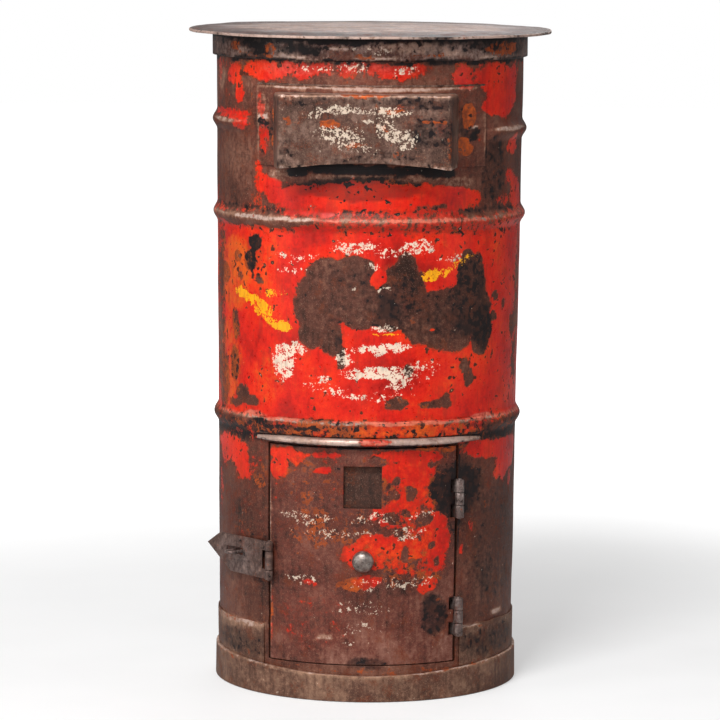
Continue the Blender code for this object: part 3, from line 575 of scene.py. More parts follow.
# The rows at 377 and 380 are a painted highlight along the header strip's crest, and the rows from
# 638 to 655 a painted highlight along the middle bead's crest.
CHALK_AND_HIGHLIGHT_BY_HEIGHT = (
    (0, 45), (40, 50), (50, 42), (90, 52), (100, 24), (300, 12), (365, 30), (374, 35), (377, 100),
    (380, 90), (383, 40), (390, 10), (620, 8), (638, 40), (645, 60), (650, 100), (655, 60),
    (670, 12), (700, 28), (750, 18), (790, 35), (845, 50), (856, 55), (866, 45), (885, 50),
    (900, 50),
)
CHALK_AND_HIGHLIGHT = (
    (0, 824.5, 45, 3, 110), (-45, 775, 1.0, 55, 76), (46.5, 775, 1.0, 55, 70),
    # The three patches below are painted highlights along the middle bead's crest.
    (-36, 649.7, 22, 2.8, 110), (16, 650, 34, 2.4, 102), (60, 650, 16, 2.8, 90),
    # Painted highlights along the upper bead's crest at either side, and along the header strip's
    # crest:
    (64, 767, 14, 3.5, 105), (-66, 776.5, 14, 3.5, 95), (0, 379, 50, 2.4, 115),
    (-35, 708, 6, 9, 80), (2, 706, 30, 6, 75), (34, 700, 7, 9, 70), (62, 105, 5, 5, 110),
    # The patch at 863.5 is a painted highlight along the rim's lower edge.
    (-16, 86, 3.5, 3, 100), (-74, 835, 6, 20, 80), (14, 879, 16, 8, 80), (-26, 863.5, 13, 2, 120),
    # The patch at 888 is a painted glint along the rim's top edge, and those at 381 on this and the
    # next line are painted highlights at the crumpled ends of the lower bead.
    (-40, 888, 30, 2, 100), (-60, 94, 18, 2.5, 105), (44, 94, 8, 2.5, 105), (-48, 381, 6, 6, 105),
    (48, 381, 6, 5, 100), (-60, 91.5, 20, 4.5, 95), (-58, 66, 24, 16, 25), (58, 68, 20, 18, 15),
    (-32, 873, 3, 5, 100), (-12, 878, 5, 3, 100), (31, 870, 5, 4, 100), (-52, 870, 3, 3, 100),
    # The patches at 866 and 864.5 are painted highlights along the rim's lower edge.
    (47, 866, 5, 2, 110), (2, 864.5, 8, 1.5, 110), (-79, 450, 6, 90, 70), (79, 550, 6, 100, 70),
    (-42, 790, 3, 25, 75), (57, 820, 13, 30, 0), (15, 240, 18, 90, 0), (-10, 850, 34, 10, 66),
    # The last two patches are painted highlights round the crumpled dents.
    (-39.2, 190, 0.6, 120, 90), (-42.5, 784, 3, 3, 120), (40.5, 773, 3, 3, 110),
)


PATCH_EDGE = (0.72, 1.32)  # a patch fades out between these shares of its half width and height
CHALK_AND_HIGHLIGHT_SHARE = 0.3  # how much of the raggedness the chalk's places take
FULLEST = 1.2  # the highest level that is stored


def patched(azimuth, z, by_height, patches):
    """Paint level at each place: a level by height, with the patches laid over it in turn."""
    level = np.zeros(np.shape(z))
    if by_height:
        heights, levels = np.array(by_height).T
        level = np.interp(z, heights / 1000, levels / 100)
    for middle, height, half_width, half_height, target, *tilt in patches:
        height, half_height, target = height / 1000, half_height / 1000, target / 100
        u = (azimuth - middle + 180) % 360 - 180
        v = z - height
        if tilt:
            reach = math.radians(1) * wall_radius(height)
            turn = math.radians(tilt[0])
            u, v = (
                u * math.cos(turn) + v / reach * math.sin(turn),
                v * math.cos(turn) - u * reach * math.sin(turn),
            )
        away = np.sqrt((u / half_width) ** 2 + (v / half_height) ** 2)
        share = 1 - smooth(away, *PATCH_EDGE)
        level = level + (target - level) * share
    return level


def ragged_place(points, azimuth, z):
    """The azimuth and height at which to read the patches, moved about so that edges are ragged."""
    coarse = wander(points, 0.030, 31), wander(points, 0.030, 32)
    fine = wander(points, 0.011, 33), wander(points, 0.011, 34)
    behind = smooth(np.abs(azimuth), 84, 100)
    moved_azimuth = azimuth + (1.1 + 6.0 * behind) * coarse[0] + (0.8 + 1.6 * behind) * fine[0]
    moved_z = z + (0.0045 + 0.022 * behind) * coarse[1] + (0.0030 + 0.005 * behind) * fine[1]
    return moved_azimuth, moved_z


def coat(thing, shown, patches=None, extra=None):
    """Store paint levels on a piece's points: paint is (red, orange, dark), marks is (cream,
    yellow, chalk). The dark level also carries painted shade and the chalk level painted
    highlights. Points that aren't shown, such as a sheet's inside, get bare rust."""
    mesh = thing.data
    points = np.zeros(len(mesh.vertices) * 3)
    mesh.vertices.foreach_get("co", points)
    points = points.reshape(-1, 3)
    azimuth, z = azimuth_of(points), points[:, 2]
    moved_azimuth, moved_z = ragged_place(points, azimuth, z)
    patches = patches or WALL_PATCHES
    broad = 0.10 * wander(points, 0.06, 41) + 0.06 * wander(points, 0.02, 42)
    given = extra(points) if extra else {}
    levels = []
    for name in ("red", "orange", "dark", "cream", "yellow", "chalk"):
        share = CHALK_AND_HIGHLIGHT_SHARE if name == "chalk" else 1.0
        if name in given:
            level = given[name]
        else:
            there = azimuth + share * (moved_azimuth - azimuth), z + share * (moved_z - z)
            level = patched(*there, *patches.get(name, ((), ())))
        levels.append(level + broad * (name in ("red", "orange")))
    levels = np.clip(np.array(levels) * shown(points), 0.0, FULLEST)
    for name, rows in (("paint", levels[:3]), ("marks", levels[3:])):
        stored = mesh.attributes.new(name, "FLOAT_COLOR", "POINT")
        colours = np.concatenate([rows, np.ones((1, len(points)))]).T
        stored.data.foreach_set("color", colours.astype(np.float32).ravel())
    return thing


def even(level):
    """The same level at every height, and no patches."""
    return ((0, level),), ()


WALL_PATCHES = {
    "red": (RED_BY_HEIGHT, RED),
    "orange": (ORANGE_BY_HEIGHT, ORANGE),
    "dark": (DARK_AND_SHADE_BY_HEIGHT, DARK_AND_SHADE),
    "cream": ((), CREAM),
    "yellow": ((), YELLOW),
    "chalk": (CHALK_AND_HIGHLIGHT_BY_HEIGHT, CHALK_AND_HIGHLIGHT),
}
HOOD_PATCHES = {
    "red": ((), ((22, 778, 3, 12, 42), (10, 800, 4, 3, 45))),
    "orange": (((700, 26), (820, 30)), (
        (-1, 817.5, 9, 3.2, 95), (-13, 778, 3.4, 7, 70), (3, 774, 3, 5, 58), (19, 784, 4, 3, 72),
        (-24, 783, 3, 5, 55), (7, 794, 4, 3, 60), (24, 750, 1, 20, 55), (-4, 752, 5, 4, 50),
    )),
    "dark": (((700, 30), (724, 50), (735, 30), (750, 22), (800, 34), (812, 50), (820, 20)), (
        (19, 768, 8, 22, 62), (8, 740, 10, 5, 56), (-23, 750, 4, 14, 48), (16, 806, 10, 8, 64),
        (-20, 807, 8, 5, 60), (-8, 733, 10, 4, 50),
    )),
    "cream": ((), (
        (-9, 798, 10, 6, 54), (6, 794, 8, 7, 50), (-18, 790, 4, 7, 44), (-13, 767, 6, 10, 46),
        (-6, 760, 4, 14, 50), (6, 768, 5, 12, 48), (11, 760, 4, 14, 48), (2, 781, 6, 6, 40),
        (-2, 746, 6, 6, 34),
    )),
    "chalk": (((700, 50), (722, 100), (727, 50), (740, 30), (810, 40), (816, 90), (820, 90)), ()),
}
LID_PATCHES = {"orange": even(30), "dark": even(24)}
METAL_PATCHES = {"orange": even(26), "dark": even(40), "chalk": even(45)}
RAIL_MM = RAIL_Z * 1000
# The rail is darker on its underside, a painted shade, and lighter along its front face, partly a
# painted highlight.
RAIL_PATCHES = {
    "red": ((), ((2, RAIL_MM, 7, 6, 62),)),
    "orange": even(30),
    "dark": (((0, 60), (RAIL_MM - 3.5, 50), (RAIL_MM - 2, 16), (RAIL_MM + 3, 36)), ()),
    "chalk": (((0, 30), (RAIL_MM - 4, 50), (RAIL_MM - 2, 105), (RAIL_MM + 3, 75)), ()),
}


def outer_side(points):
    """1 outside the wall's middle thickness, 0 inside it."""
    across = np.hypot(points[:, 0], points[:, 1])
    return (across > wall_radius(points[:, 2]) - SHEET / 2).astype(float)


def everywhere(points):
    return np.ones(len(points))


# Finishes


def srgb(red, green, blue):
    channels = []
    for value in (red, green, blue):
        share = value / 255
        channels.append(share / 12.92 if share <= 0.04045 else ((share + 0.055) / 1.055) ** 2.4)
    return (*channels, 1.0)


NOISE_MIDDLE = 0.5
COAT_EDGE = 0.5  # a coat shows where its level and the noise together pass this
PAINT_ROUGHNESS = 0.35
SPECULAR_LEVEL = 0.27
BUMP_STRENGTH = 0.60
BUMP_DEPTH = 0.0007


class Graph:
    """Short names for the nodes that the finishes are made of."""

    def __init__(self, name):
        self.material = bpy.data.materials.new(name)
        self.material.use_nodes = True
        self.tree = self.material.node_tree
        self.shader = self.tree.nodes["Principled BSDF"]
        self.place = self.tree.nodes.new("ShaderNodeTexCoord").outputs["Object"]

    def feed(self, value, socket):
        if isinstance(value, bpy.types.NodeSocket):
            self.tree.links.new(value, socket)
        else:
            socket.default_value = value

    def noise(self, size, detail=4.0, roughness=0.55, stretch=1.0, shift=0.0):
        """Noise with features of this size, drawn out up and down by the stretch."""
        mapping = self.tree.nodes.new("ShaderNodeMapping")
        self.feed(self.place, mapping.inputs["Vector"])
        mapping.inputs["Location"].default_value = (shift, shift * 0.7, shift * 1.3)
        mapping.inputs["Scale"].default_value = (1 / size, 1 / size, 1 / (size * stretch))
        texture = self.tree.nodes.new("ShaderNodeTexNoise")
        self.feed(mapping.outputs["Vector"], texture.inputs["Vector"])
        texture.inputs["Scale"].default_value = 1.0
        texture.inputs["Detail"].default_value = detail
        texture.inputs["Roughness"].default_value = roughness
        return texture.outputs["Fac"]

    def attribute(self, name):
        node = self.tree.nodes.new("ShaderNodeAttribute")
        node.attribute_name = name
        parts = self.tree.nodes.new("ShaderNodeSeparateColor")
        self.feed(node.outputs["Color"], parts.inputs["Color"])
        return [parts.outputs[part] for part in ("Red", "Green", "Blue")]

    def math(self, operation, *values, clamp=False):
        node = self.tree.nodes.new("ShaderNodeMath")
        node.operation = operation
        node.use_clamp = clamp
        for value, socket in zip(values, node.inputs):
            self.feed(value, socket)
        return node.outputs["Value"]

    def times(self, first, second):
        return self.math("MULTIPLY", first, second)

    def most(self, first, second):
        return self.math("MAXIMUM", first, second)

    def rest(self, value):
        return self.math("SUBTRACT", 1.0, value)

    def about(self, value, gain, middle=NOISE_MIDDLE):
        """(value - middle) * gain"""
        return self.times(self.math("SUBTRACT", value, middle), gain)

    def vary(self, value, *noises):
        """The value plus each (noise, gain), swinging about the noise's middle."""
        return self.total(value, *[self.about(noise, gain) for noise, gain in noises])

    def total(self, *values):
        result = values[0]
        for value in values[1:]:
            result = self.math("ADD", result, value)
        return result

    def step(self, value, edge, softness):
        """0 below the edge and 1 above it, softened by this much either way."""
        node = self.tree.nodes.new("ShaderNodeMapRange")
        node.interpolation_type = "SMOOTHSTEP"
        self.feed(value, node.inputs["Value"])
        node.inputs["From Min"].default_value = edge - softness
        node.inputs["From Max"].default_value = edge + softness
        return node.outputs["Result"]

    def mix(self, share, first, second):
        """A colour between two colours."""
        node = self.tree.nodes.new("ShaderNodeMix")
        node.data_type = "RGBA"
        self.feed(share, node.inputs[0])
        self.feed(first, node.inputs[6])
        self.feed(second, node.inputs[7])
        return node.outputs[2]

    def lay(self, base, coat, share, strength):
        """A coat over a base, at its fullest no stronger than this."""
        return self.mix(self.times(share, strength), base, coat)

    def blend(self, share, first, second):
        """A number between two numbers."""
        node = self.tree.nodes.new("ShaderNodeMix")
        self.feed(share, node.inputs[0])
        self.feed(first, node.inputs[2])
        self.feed(second, node.inputs[3])
        return node.outputs[0]

    def ramp(self, value, *stops):
        node = self.tree.nodes.new("ShaderNodeValToRGB")
        self.feed(value, node.inputs["Fac"])
        points = node.color_ramp.elements
        while len(points) < len(stops):
            points.new(0.5)
        for point, (place, colour) in zip(points, stops):
            point.position = place
            point.color = colour
        return node.outputs["Color"]


RED_BRIGHT = srgb(230, 50, 14)
RED_MIDDLE = srgb(208, 26, 8)
RED_DEEP = srgb(140, 12, 6)
# The chalky red and worn red below also colour the painted highlights over red paint.
RED_CHALKY_AND_HIGHLIGHT = srgb(190, 104, 88)
RED_WORN_AND_HIGHLIGHT = srgb(226, 124, 98)
RED_FILM = srgb(124, 48, 34)
RED_ORANGE = srgb(212, 92, 18)
RED_THIN = srgb(160, 46, 16)
ORANGE_COAT = srgb(196, 84, 20)
ORANGE_RUST = srgb(132, 60, 28)
# Black coat, also the colour of painted shade.
BLACK_COAT_AND_SHADE = srgb(24, 17, 18)
BLACK_BROWN = srgb(54, 30, 23)
CREAM_COAT = srgb(228, 208, 186)
YELLOW_COAT = srgb(244, 166, 12)
# The dust and worn-edge colours below also colour the painted highlights over bare metal.
DUST_AND_HIGHLIGHT = srgb(174, 134, 110)
WORN_EDGE_AND_HIGHLIGHT = srgb(206, 178, 166)


def coated(name, dark, middle, light, metallic, roughness, dust=0.35):
    """Bare metal from dark to light, under black primer, orange undercoat, red, and marks, with
    painted shade where the dark level is high and painted highlights where the chalk level is
    highest.
    """
    dark, middle, light = srgb(*dark), srgb(*middle), srgb(*light)
    g = Graph(name)
    red_level, orange_level, dark_and_shade_level = g.attribute("paint")
    cream_level, yellow_level, chalk_and_highlight_level = g.attribute("marks")
    broad = g.noise(0.070, 3.0, 0.5, shift=1.0)
    coarse = g.noise(0.022, 4.0, shift=2.0)
    fine = g.noise(0.0065, 6.0, 0.68, shift=3.0)
    flecks = g.noise(0.0024, 3.0, 0.6, shift=4.0)
    grit = g.noise(0.0014, 3.0, 0.7, shift=5.0)
    streaks = g.noise(0.0060, 4.0, 0.6, stretch=9.0, shift=6.0)
    spots = g.noise(0.0085, 1.5, 0.5, shift=7.0)

    # Which coat shows
    ragged = g.total(g.about(coarse, 0.9), g.about(fine, 1.15), g.about(streaks, 0.25))
    flaky = g.total(g.about(flecks, 1.3), g.about(fine, 1.3), g.about(spots, 0.8))
    red_value = g.total(red_level, ragged)
    sound = g.step(red_value, COAT_EDGE, 0.018)
    chipped = g.total(
        spots, g.about(fine, 0.4), g.about(broad, 0.5), g.about(red_level, -0.10, 0.9),
    )
    chip = g.step(chipped, 0.70, 0.012)
    red = g.times(sound, g.rest(chip))
    orange_value = g.vary(orange_level, (coarse, -0.9), (fine, 1.3))
    under_red = g.total(red_value, g.about(broad, 0.6, 0.48))
    orange = g.step(g.most(orange_value, under_red), 0.53, 0.03)
    orange = g.times(orange, g.rest(g.times(chip, 0.8)))
    # Black primer; where the dark level is high it is also painted shade.
    black_value = g.vary(dark_and_shade_level, (broad, 0.9), (spots, 0.35), (fine, -0.5))
    black = g.step(black_value, 0.56, 0.20)
    black = g.most(black, g.times(chip, g.step(red_level, 0.5, 0.15)))
    # Black pits; in the dents' hollows and under the hood they are painted shade.
    pitted_and_shaded = g.vary(dark_and_shade_level, (spots, 1.5), (fine, -1.1))
    pits_and_shade = g.step(pitted_and_shaded, 0.76, 0.03)
    cream = g.step(g.total(cream_level, flaky), COAT_EDGE, 0.03)
    smeared = g.total(yellow_level, g.times(flaky, 0.7), g.about(coarse, 0.9))
    yellow = g.step(smeared, COAT_EDGE, 0.03)

    # Colour of each coat
    tone = g.total(
        g.times(broad, 0.40), g.times(streaks, 0.25),
        g.times(fine, 0.35), g.about(chalk_and_highlight_level, 0.14, 0.3),
    )
    metal = g.ramp(tone, (0.37, dark), (0.50, middle), (0.635, light))
    film = g.times(red_level, g.step(g.vary(coarse, (fine, 0.6)), 0.45, 0.15))
    thinned = g.step(g.vary(red_value, (streaks, 0.4)), 0.40, 0.14)
    metal = g.mix(g.most(film, g.times(thinned, 0.85)), metal, RED_FILM)
    rust = g.step(g.vary(coarse, (flecks, 0.6)), 0.62, 0.08)
    metal = g.lay(metal, ORANGE_RUST, rust, 0.42)
    metal = g.mix(g.times(g.step(grit, 0.62, 0.05), dust), metal, DUST_AND_HIGHLIGHT)
    # Dust and worn edges over bare metal, from the chalk level; its highest levels are painted
    # highlights along crests and edges.
    worn_and_highlit = g.step(g.vary(chalk_and_highlight_level, (fine, 1.8)), 0.80, 0.25)
    metal = g.lay(metal, DUST_AND_HIGHLIGHT, worn_and_highlit, 0.60)
    bright = g.step(g.vary(chalk_and_highlight_level, (fine, 1.4), (coarse, 0.8)), 1.0, 0.12)
    metal = g.lay(metal, WORN_EDGE_AND_HIGHLIGHT, bright, 0.70)
    browner = g.step(g.vary(coarse, (streaks, 0.8)), 0.5, 0.12)
    primer_and_shade = g.mix(browner, BLACK_COAT_AND_SHADE, BLACK_BROWN)
    undercoat = g.mix(g.step(fine, 0.5, 0.12), ORANGE_COAT, ORANGE_RUST)
    fade = g.total(g.times(broad, 0.55), g.times(streaks, 0.20), g.times(fine, 0.25))
    paint = g.ramp(fade, (0.36, RED_DEEP), (0.47, RED_MIDDLE), (0.60, RED_BRIGHT))
    # Chalky red over the paint; at the highest chalk levels this is a painted highlight.
    chalky_and_highlit = g.step(g.vary(chalk_and_highlight_level, (fine, 1.2)), 0.78, 0.3)
    paint = g.lay(paint, RED_CHALKY_AND_HIGHLIGHT, chalky_and_highlit, 0.60)
    thin = g.step(g.vary(orange_level, (broad, 0.8), (fine, 0.9)), 0.62, 0.20)
    paint = g.lay(paint, RED_ORANGE, thin, 0.85)
    worn_through = g.rest(g.step(red_value, 0.62, 0.12))
    paint = g.lay(paint, RED_THIN, worn_through, 0.60)
    paint = g.mix(g.times(g.step(grit, 0.60, 0.06), 0.30), paint, RED_DEEP)

    colour = g.lay(metal, primer_and_shade, black, 0.9)
    colour = g.lay(colour, undercoat, orange, 0.88)
    colour = g.lay(colour, BLACK_COAT_AND_SHADE, pits_and_shade, 0.92)
    # Red paint, with a painted highlight in worn red where the chalk level is highest.
    colour = g.mix(red, colour, g.lay(paint, RED_WORN_AND_HIGHLIGHT, bright, 0.62))
    colour = g.mix(g.times(cream, g.blend(red, 0.72, 0.95)), colour, CREAM_COAT)
    colour = g.mix(yellow, colour, YELLOW_COAT)
    # Painted shade: a high dark level darkens the colour towards black, for the painted shadows
    # under the hood, lid and rim and along the beads; it also deepens dark stains such as the one
    # round the upper hinge.
    shade = g.step(g.vary(dark_and_shade_level, (fine, 0.3)), 0.84, 0.24)
    colour = g.lay(colour, BLACK_COAT_AND_SHADE, shade, 0.80)
    grime = g.step(g.vary(streaks, (coarse, 0.8)), 0.60, 0.14)
    colour = g.lay(colour, dark, grime, 0.30)
    g.feed(colour, g.shader.inputs["Base Color"])

    covered = g.most(red, g.most(cream, yellow))
    g.feed(g.blend(covered, metallic, 0.0), g.shader.inputs["Metallic"])
    rough = g.total(g.blend(covered, roughness, PAINT_ROUGHNESS), g.about(fine, 0.6))
    rough = g.math("ADD", rough, g.times(grime, 0.10), clamp=True)
    g.feed(rough, g.shader.inputs["Roughness"])
    g.shader.inputs["Specular IOR Level"].default_value = SPECULAR_LEVEL

    relief = g.total(
        g.times(red, 0.50), g.times(orange, 0.25),
        g.times(covered, 0.20), g.about(fine, 0.9),
        g.times(g.about(grit, 0.5), g.rest(g.times(red, 0.7))),
    )
    bump = g.tree.nodes.new("ShaderNodeBump")
    bump.inputs["Strength"].default_value = BUMP_STRENGTH
    bump.inputs["Distance"].default_value = BUMP_DEPTH
    g.feed(relief, bump.inputs["Height"])
    g.feed(bump.outputs["Normal"], g.shader.inputs["Normal"])
    return g.material


PAINTED = coated("painted_sheet", (42, 23, 17), (92, 52, 40), (136, 92, 74), 0.20, 0.50)
DOOR_SHEET = coated("painted_door", (48, 25, 20), (104, 57, 46), (148, 102, 86), 0.16, 0.54)
GREY_STEEL = coated("bare_sheet", (44, 30, 26), (90, 64, 54), (148, 118, 104), 0.42, 0.44, 0.5)
RIM_IRON = coated("rim_sheet", (22, 15, 16), (96, 66, 58), (186, 156, 144), 0.34, 0.40)
LID_STEEL = coated("lid_sheet", (54, 32, 25), (92, 72, 66), (156, 146, 146), 0.36, 0.48, 0.5)
# The rail's metal is lighter than the other bare steel, partly a painted highlight.
RAIL_STEEL = coated("rail_sheet", (84, 54, 46), (146, 118, 108), (206, 186, 178), 0.40, 0.36, 0.5)
RUSTY = coated("rusty_sheet", (46, 29, 22), (96, 66, 53), (150, 114, 92), 0.24, 0.56, 0.5)
HASP_IRON = coated("hasp_iron", (40, 30, 28), (92, 71, 65), (138, 116, 109), 0.36, 0.42)
HINGE_STEEL = coated("hinge_steel", (50, 40, 39), (108, 92, 88), (176, 160, 154), 0.60, 0.34, 0.4)
KNOB_STEEL = coated("worn_knob", (84, 74, 70), (132, 120, 114), (178, 168, 160), 0.75, 0.34, 0.4)
INSIDE = coated("inside_sheet", (42, 28, 23), (82, 52, 42), (116, 82, 68), 0.20, 0.70)


def show(thing, body, slot, material, *nodes, patches=None, shown=everywhere, extra=None):
    """Finish a piece: its paint, its material, the body it rides on and the nodes it stands for."""
    coat(thing, shown, patches, extra)
    thing.data.materials.clear()
    thing.data.materials.append(material)
    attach(thing, body)
    if nodes:
        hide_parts(*nodes)


def show_steel(thing, body, material, node):
    show(thing, body, "bare_steel", material, node, patches=METAL_PATCHES)


# Wall, bands and lid


def round_azimuths():
    stops = (OPENING_FROM, OPENING_TO, -WALL_HOLE_HALF_ANGLE, WALL_HOLE_HALF_ANGLE)
    front = steps(-FRONT_HALF_ANGLE, FRONT_HALF_ANGLE, FRONT_STEP, *stops)
    back = steps(FRONT_HALF_ANGLE, 360 - FRONT_HALF_ANGLE, BACK_STEP)
    return np.concatenate([front, back[1:-1]])


def clear_of(values, others, distance):
    return [value for value in values if all(abs(value - other) > distance for other in others)]


def wall_heights():
    bead_rows = []
    for middle, reach in (
        (UPPER_BEAD_Z, BEAD_HALF_HEIGHT + UPPER_BEAD_TILT),
        (MIDDLE_BEAD_Z, BEAD_HALF_HEIGHT),
        (LOWER_BEAD_Z, BEAD_HALF_HEIGHT),
    ):
        span = reach + 0.001
        bead_rows += list(steps(middle - span, middle + span, BEAD_ROW_STEP))
    exact = [*OPENING_Z, *WALL_HOLE_Z]
    coarse = clear_of(steps(0.0, WALL_TOP_Z, ROW_STEP), bead_rows, 0.002)
    rows = clear_of(coarse + bead_rows, exact, 0.0012)
    return np.array(sorted({0.0, WALL_TOP_Z, *rows, *exact}))


def make_wall():
    def keep(azimuth, z):
        azimuth = (azimuth + 180) % 360 - 180
        in_door = OPENING_FROM < azimuth < OPENING_TO and OPENING_Z[0] < z < OPENING_Z[1]
        in_slot = abs(azimuth) < WALL_HOLE_HALF_ANGLE and WALL_HOLE_Z[0] < z < WALL_HOLE_Z[1]
        return not (in_door or in_slot)

    def outer(azimuth, z):
        azimuth = (azimuth + 180) % 360 - 180
        away = np.abs(azimuth)
        ends = smooth(away, *CRUMPLE_FROM) * hump(away - CRUMPLE_AZIMUTH, CRUMPLE_HALF_ANGLE)
        crumpled = (UPPER_BEAD_Z, LOWER_BEAD_Z + 0.006)
        rows = sum(hump(z - middle, CRUMPLE_HALF_HEIGHT) for middle in crumpled)
        crumple = CRUMPLE * wander_at(azimuth, z, 0.010, 53) * ends * rows
        return wall_radius(z) + bead(azimuth, z) + undulation(azimuth, z) + crumple

    wall = sheet("wall_shell", round_azimuths(), wall_heights(), outer, SHEET, keep)
    show(bevel(wall, segments=1), "cabinet", "red_paint", PAINTED, "body_shell", shown=outer_side)


def make_slot_plate():
    def keep(azimuth, z):
        return not (abs(azimuth) < SLOT_HALF_ANGLE and SLOT_Z[0] < z < SLOT_Z[1])

    def outer(azimuth, z):
        """Over the ends of the flattened bead the plate is beaten in and crumpled."""
        crumple = wander_at(azimuth, z, 0.0065, 51)
        dents = 0.0
        for middle, height in DENTS:
            away = (azimuth - middle) / DENT_HALF_ANGLE, (z - height) / DENT_HALF_HEIGHT
            away = np.hypot(*away)
            dents = dents + (1 - smooth(away, 0.2, 1.3)) * (CRUMPLE * crumple + 0.0004)
        ridge = sum(RIDGE_HEIGHT * hump(azimuth - middle, RIDGE_HALF_ANGLE) for middle in RIDGES)
        lift = GAP + SLOT_PLATE_SHEET
        return wall_radius(z) + lift + undulation(azimuth, z) + dents + ridge

    azimuths = steps(SLOT_PLATE_FROM, SLOT_PLATE_TO, 0.9, -SLOT_HALF_ANGLE, SLOT_HALF_ANGLE)
    heights = steps(*SLOT_PLATE_Z, 0.003, *SLOT_Z)
    surround = sheet("slot_surround", azimuths, heights, outer, SLOT_PLATE_SHEET, keep)
    show(bevel(surround), "cabinet", "red_paint", PAINTED, "slot_plate")


def foot_band_drop(azimuth):
    """How far the foot band's top edge sags below its full height, most at the front."""
    return FOOT_BAND_DIP * np.maximum(np.cos(np.radians(azimuth)), 0.0) ** 3


def make_bands():
    everything = round_azimuths()

    def rim_outer(azimuth, z):
        return RIM_RADIUS + 0.8 * undulation(azimuth, z) - 0.0006

    def rim_edge(azimuth, z):
        drop = 0.0008 * wander_at(azimuth, 0.0, 0.08, 61)
        share = 1 - smooth(z, RIM_BOTTOM_Z, RIM_BOTTOM_Z + 0.012)
        return z + drop * share

    thickness = RIM_RADIUS - TOP_RADIUS - GAP
    heights = steps(RIM_BOTTOM_Z, WALL_TOP_Z, 0.004)
    rim = sheet("rim_ring", everything, heights, rim_outer, thickness, edge=rim_edge)
    show(bevel(rim, 0.0009), "cabinet", "dark_iron", RIM_IRON, "rim_band")

    def wavy_top(top, amount, seed, top_drop=0.0, foot_drop=0.0):
        """A top edge that waves. The shares say how far each edge follows the foot band's sag."""
        def edge(azimuth, z):
            ripple = wander_at(azimuth, 0.0, 0.014, seed + 1)
            wave = wander_at(azimuth, 0.0, 0.05, seed) + 0.5 * ripple
            over_foot = 1 - smooth(z, FOOT_BAND_TOP_Z, FOOT_BAND_TOP_Z + 0.02)
            drop = foot_band_drop(azimuth)
            lift = amount * wave - top_drop * drop
            return z + lift * smooth(z, top - 0.03, top) - foot_drop * drop * over_foot
        return edge

    def foot_outer(azimuth, z):
        return FOOT_BAND_RADIUS - 0.0005 * z / FOOT_BAND_TOP_Z + 0.4 * undulation(azimuth, z)

    def foot_edge_wear(points):
        below = FOOT_BAND_TOP_Z - foot_band_drop(azimuth_of(points)) - points[:, 2]
        return {"chalk": 0.46 + 0.70 * hump(below - 0.0010, 0.0016)}

    heights = steps(0.0, FOOT_BAND_TOP_Z, 0.003)
    edge = wavy_top(FOOT_BAND_TOP_Z, 0.0007, 63, top_drop=1.0)
    foot = sheet("foot_ring", everything, heights, foot_outer, FOOT_BAND_SHEET, edge=edge)
    show(bevel(foot, 0.0010), "cabinet", "rusty_steel", RUSTY, "base_band", extra=foot_edge_wear)

    azimuths = steps(WRAP_FROM, WRAP_TO, 1.5)
    heights = steps(FOOT_BAND_TOP_Z + GAP, WRAP_TOP_Z, 0.0035)
    outer, edge = plain_wall(GAP + WRAP_SHEET), wavy_top(WRAP_TOP_Z, 0.0022, 65, foot_drop=1.0)
    wrap = sheet("lower_wrap", azimuths, heights, outer, WRAP_SHEET, edge=edge)
    show(bevel(wrap, 0.0007), "cabinet", "rusty_steel", RUSTY, "wrap_band")

    azimuths = steps(HEADER_FROM, HEADER_TO, 1.0)
    heights = steps(*HEADER_Z, 0.0022)
    header = sheet("header_bar", azimuths, heights, plain_wall(GAP + HEADER_SHEET), HEADER_SHEET)
    show(bevel(header, 0.0016, 3), "cabinet", "red_paint", PAINTED, "header_strip")


def make_lid():
    """A round plate, a little dished and warped: its lip droops at the front and lifts behind."""
    around = 180
    turns = np.linspace(-180, 180, around, endpoint=False)
    inner, outer = steps(0.012, RIM_RADIUS, 0.012), steps(RIM_RADIUS, LID_RADIUS, 0.004)
    radii = np.concatenate([inner, outer[1:]])
    low_edge = WALL_TOP_Z + GAP
    points = polar(turns, LID_RADIUS, 0.0)
    ripple = 0.0010 * wander(points, 0.12, 71) + 0.0005 * wander(points, 0.04, 72)
    lip = np.clip(-LID_LIFT * np.cos(np.radians(turns)) - 0.0006 + ripple, *LID_LEAN)
    edge_radius = LID_RADIUS - 0.0012 + 0.0011 * wander(points, 0.07, 73)

    def ring(radius, top, inset=0.0):
        crown = LID_CROWN * (1 - (radius / LID_RADIUS) ** 2)
        z = low_edge + crown + lip * smooth(radius, RIM_RADIUS, LID_RADIUS) + LID_SHEET * top
        return polar(turns, np.minimum(radius, edge_radius) - inset, z)

    chamfer = 0.0007
    rings = [ring(radius, True) for radius in radii[:-1]]
    rings.append(ring(LID_RADIUS, True, inset=chamfer))
    for rise in (LID_SHEET - chamfer, LID_SHEET / 2, chamfer):
        outermost = ring(LID_RADIUS, False)
        outermost[:, 2] += rise
        rings.append(outermost)
    rings.append(ring(LID_RADIUS, False, inset=chamfer))
    rings += [ring(radius, False) for radius in radii[-2::-1]]
    lid = tube("lid_disc", rings)

    def lid_wear(points):
        """Chalky grey in the middle, brown towards the rim, and a bright worn lip."""
        across = np.hypot(points[:, 0], points[:, 1])
        ragged = across + 0.014 * wander(points, 0.050, 77) + 0.006 * wander(points, 0.016, 78)
        lip_wear = 1.2 * smooth(across, 0.2462, 0.2480)
        mottle = 0.30 * wander(points, 0.024, 75)
        chalk = 0.85 - 0.85 * smooth(ragged, 0.17, 0.245) + lip_wear + mottle
        dark = 0.26 + 0.20 * smooth(ragged, 0.205, 0.245) + 0.16 * wander(points, 0.035, 76)
        return {"chalk": chalk, "dark": dark}

    show(lid, "cabinet", "bare_steel", LID_STEEL, "lid_plate", patches=LID_PATCHES, extra=lid_wear)


# Hood, rail and welds


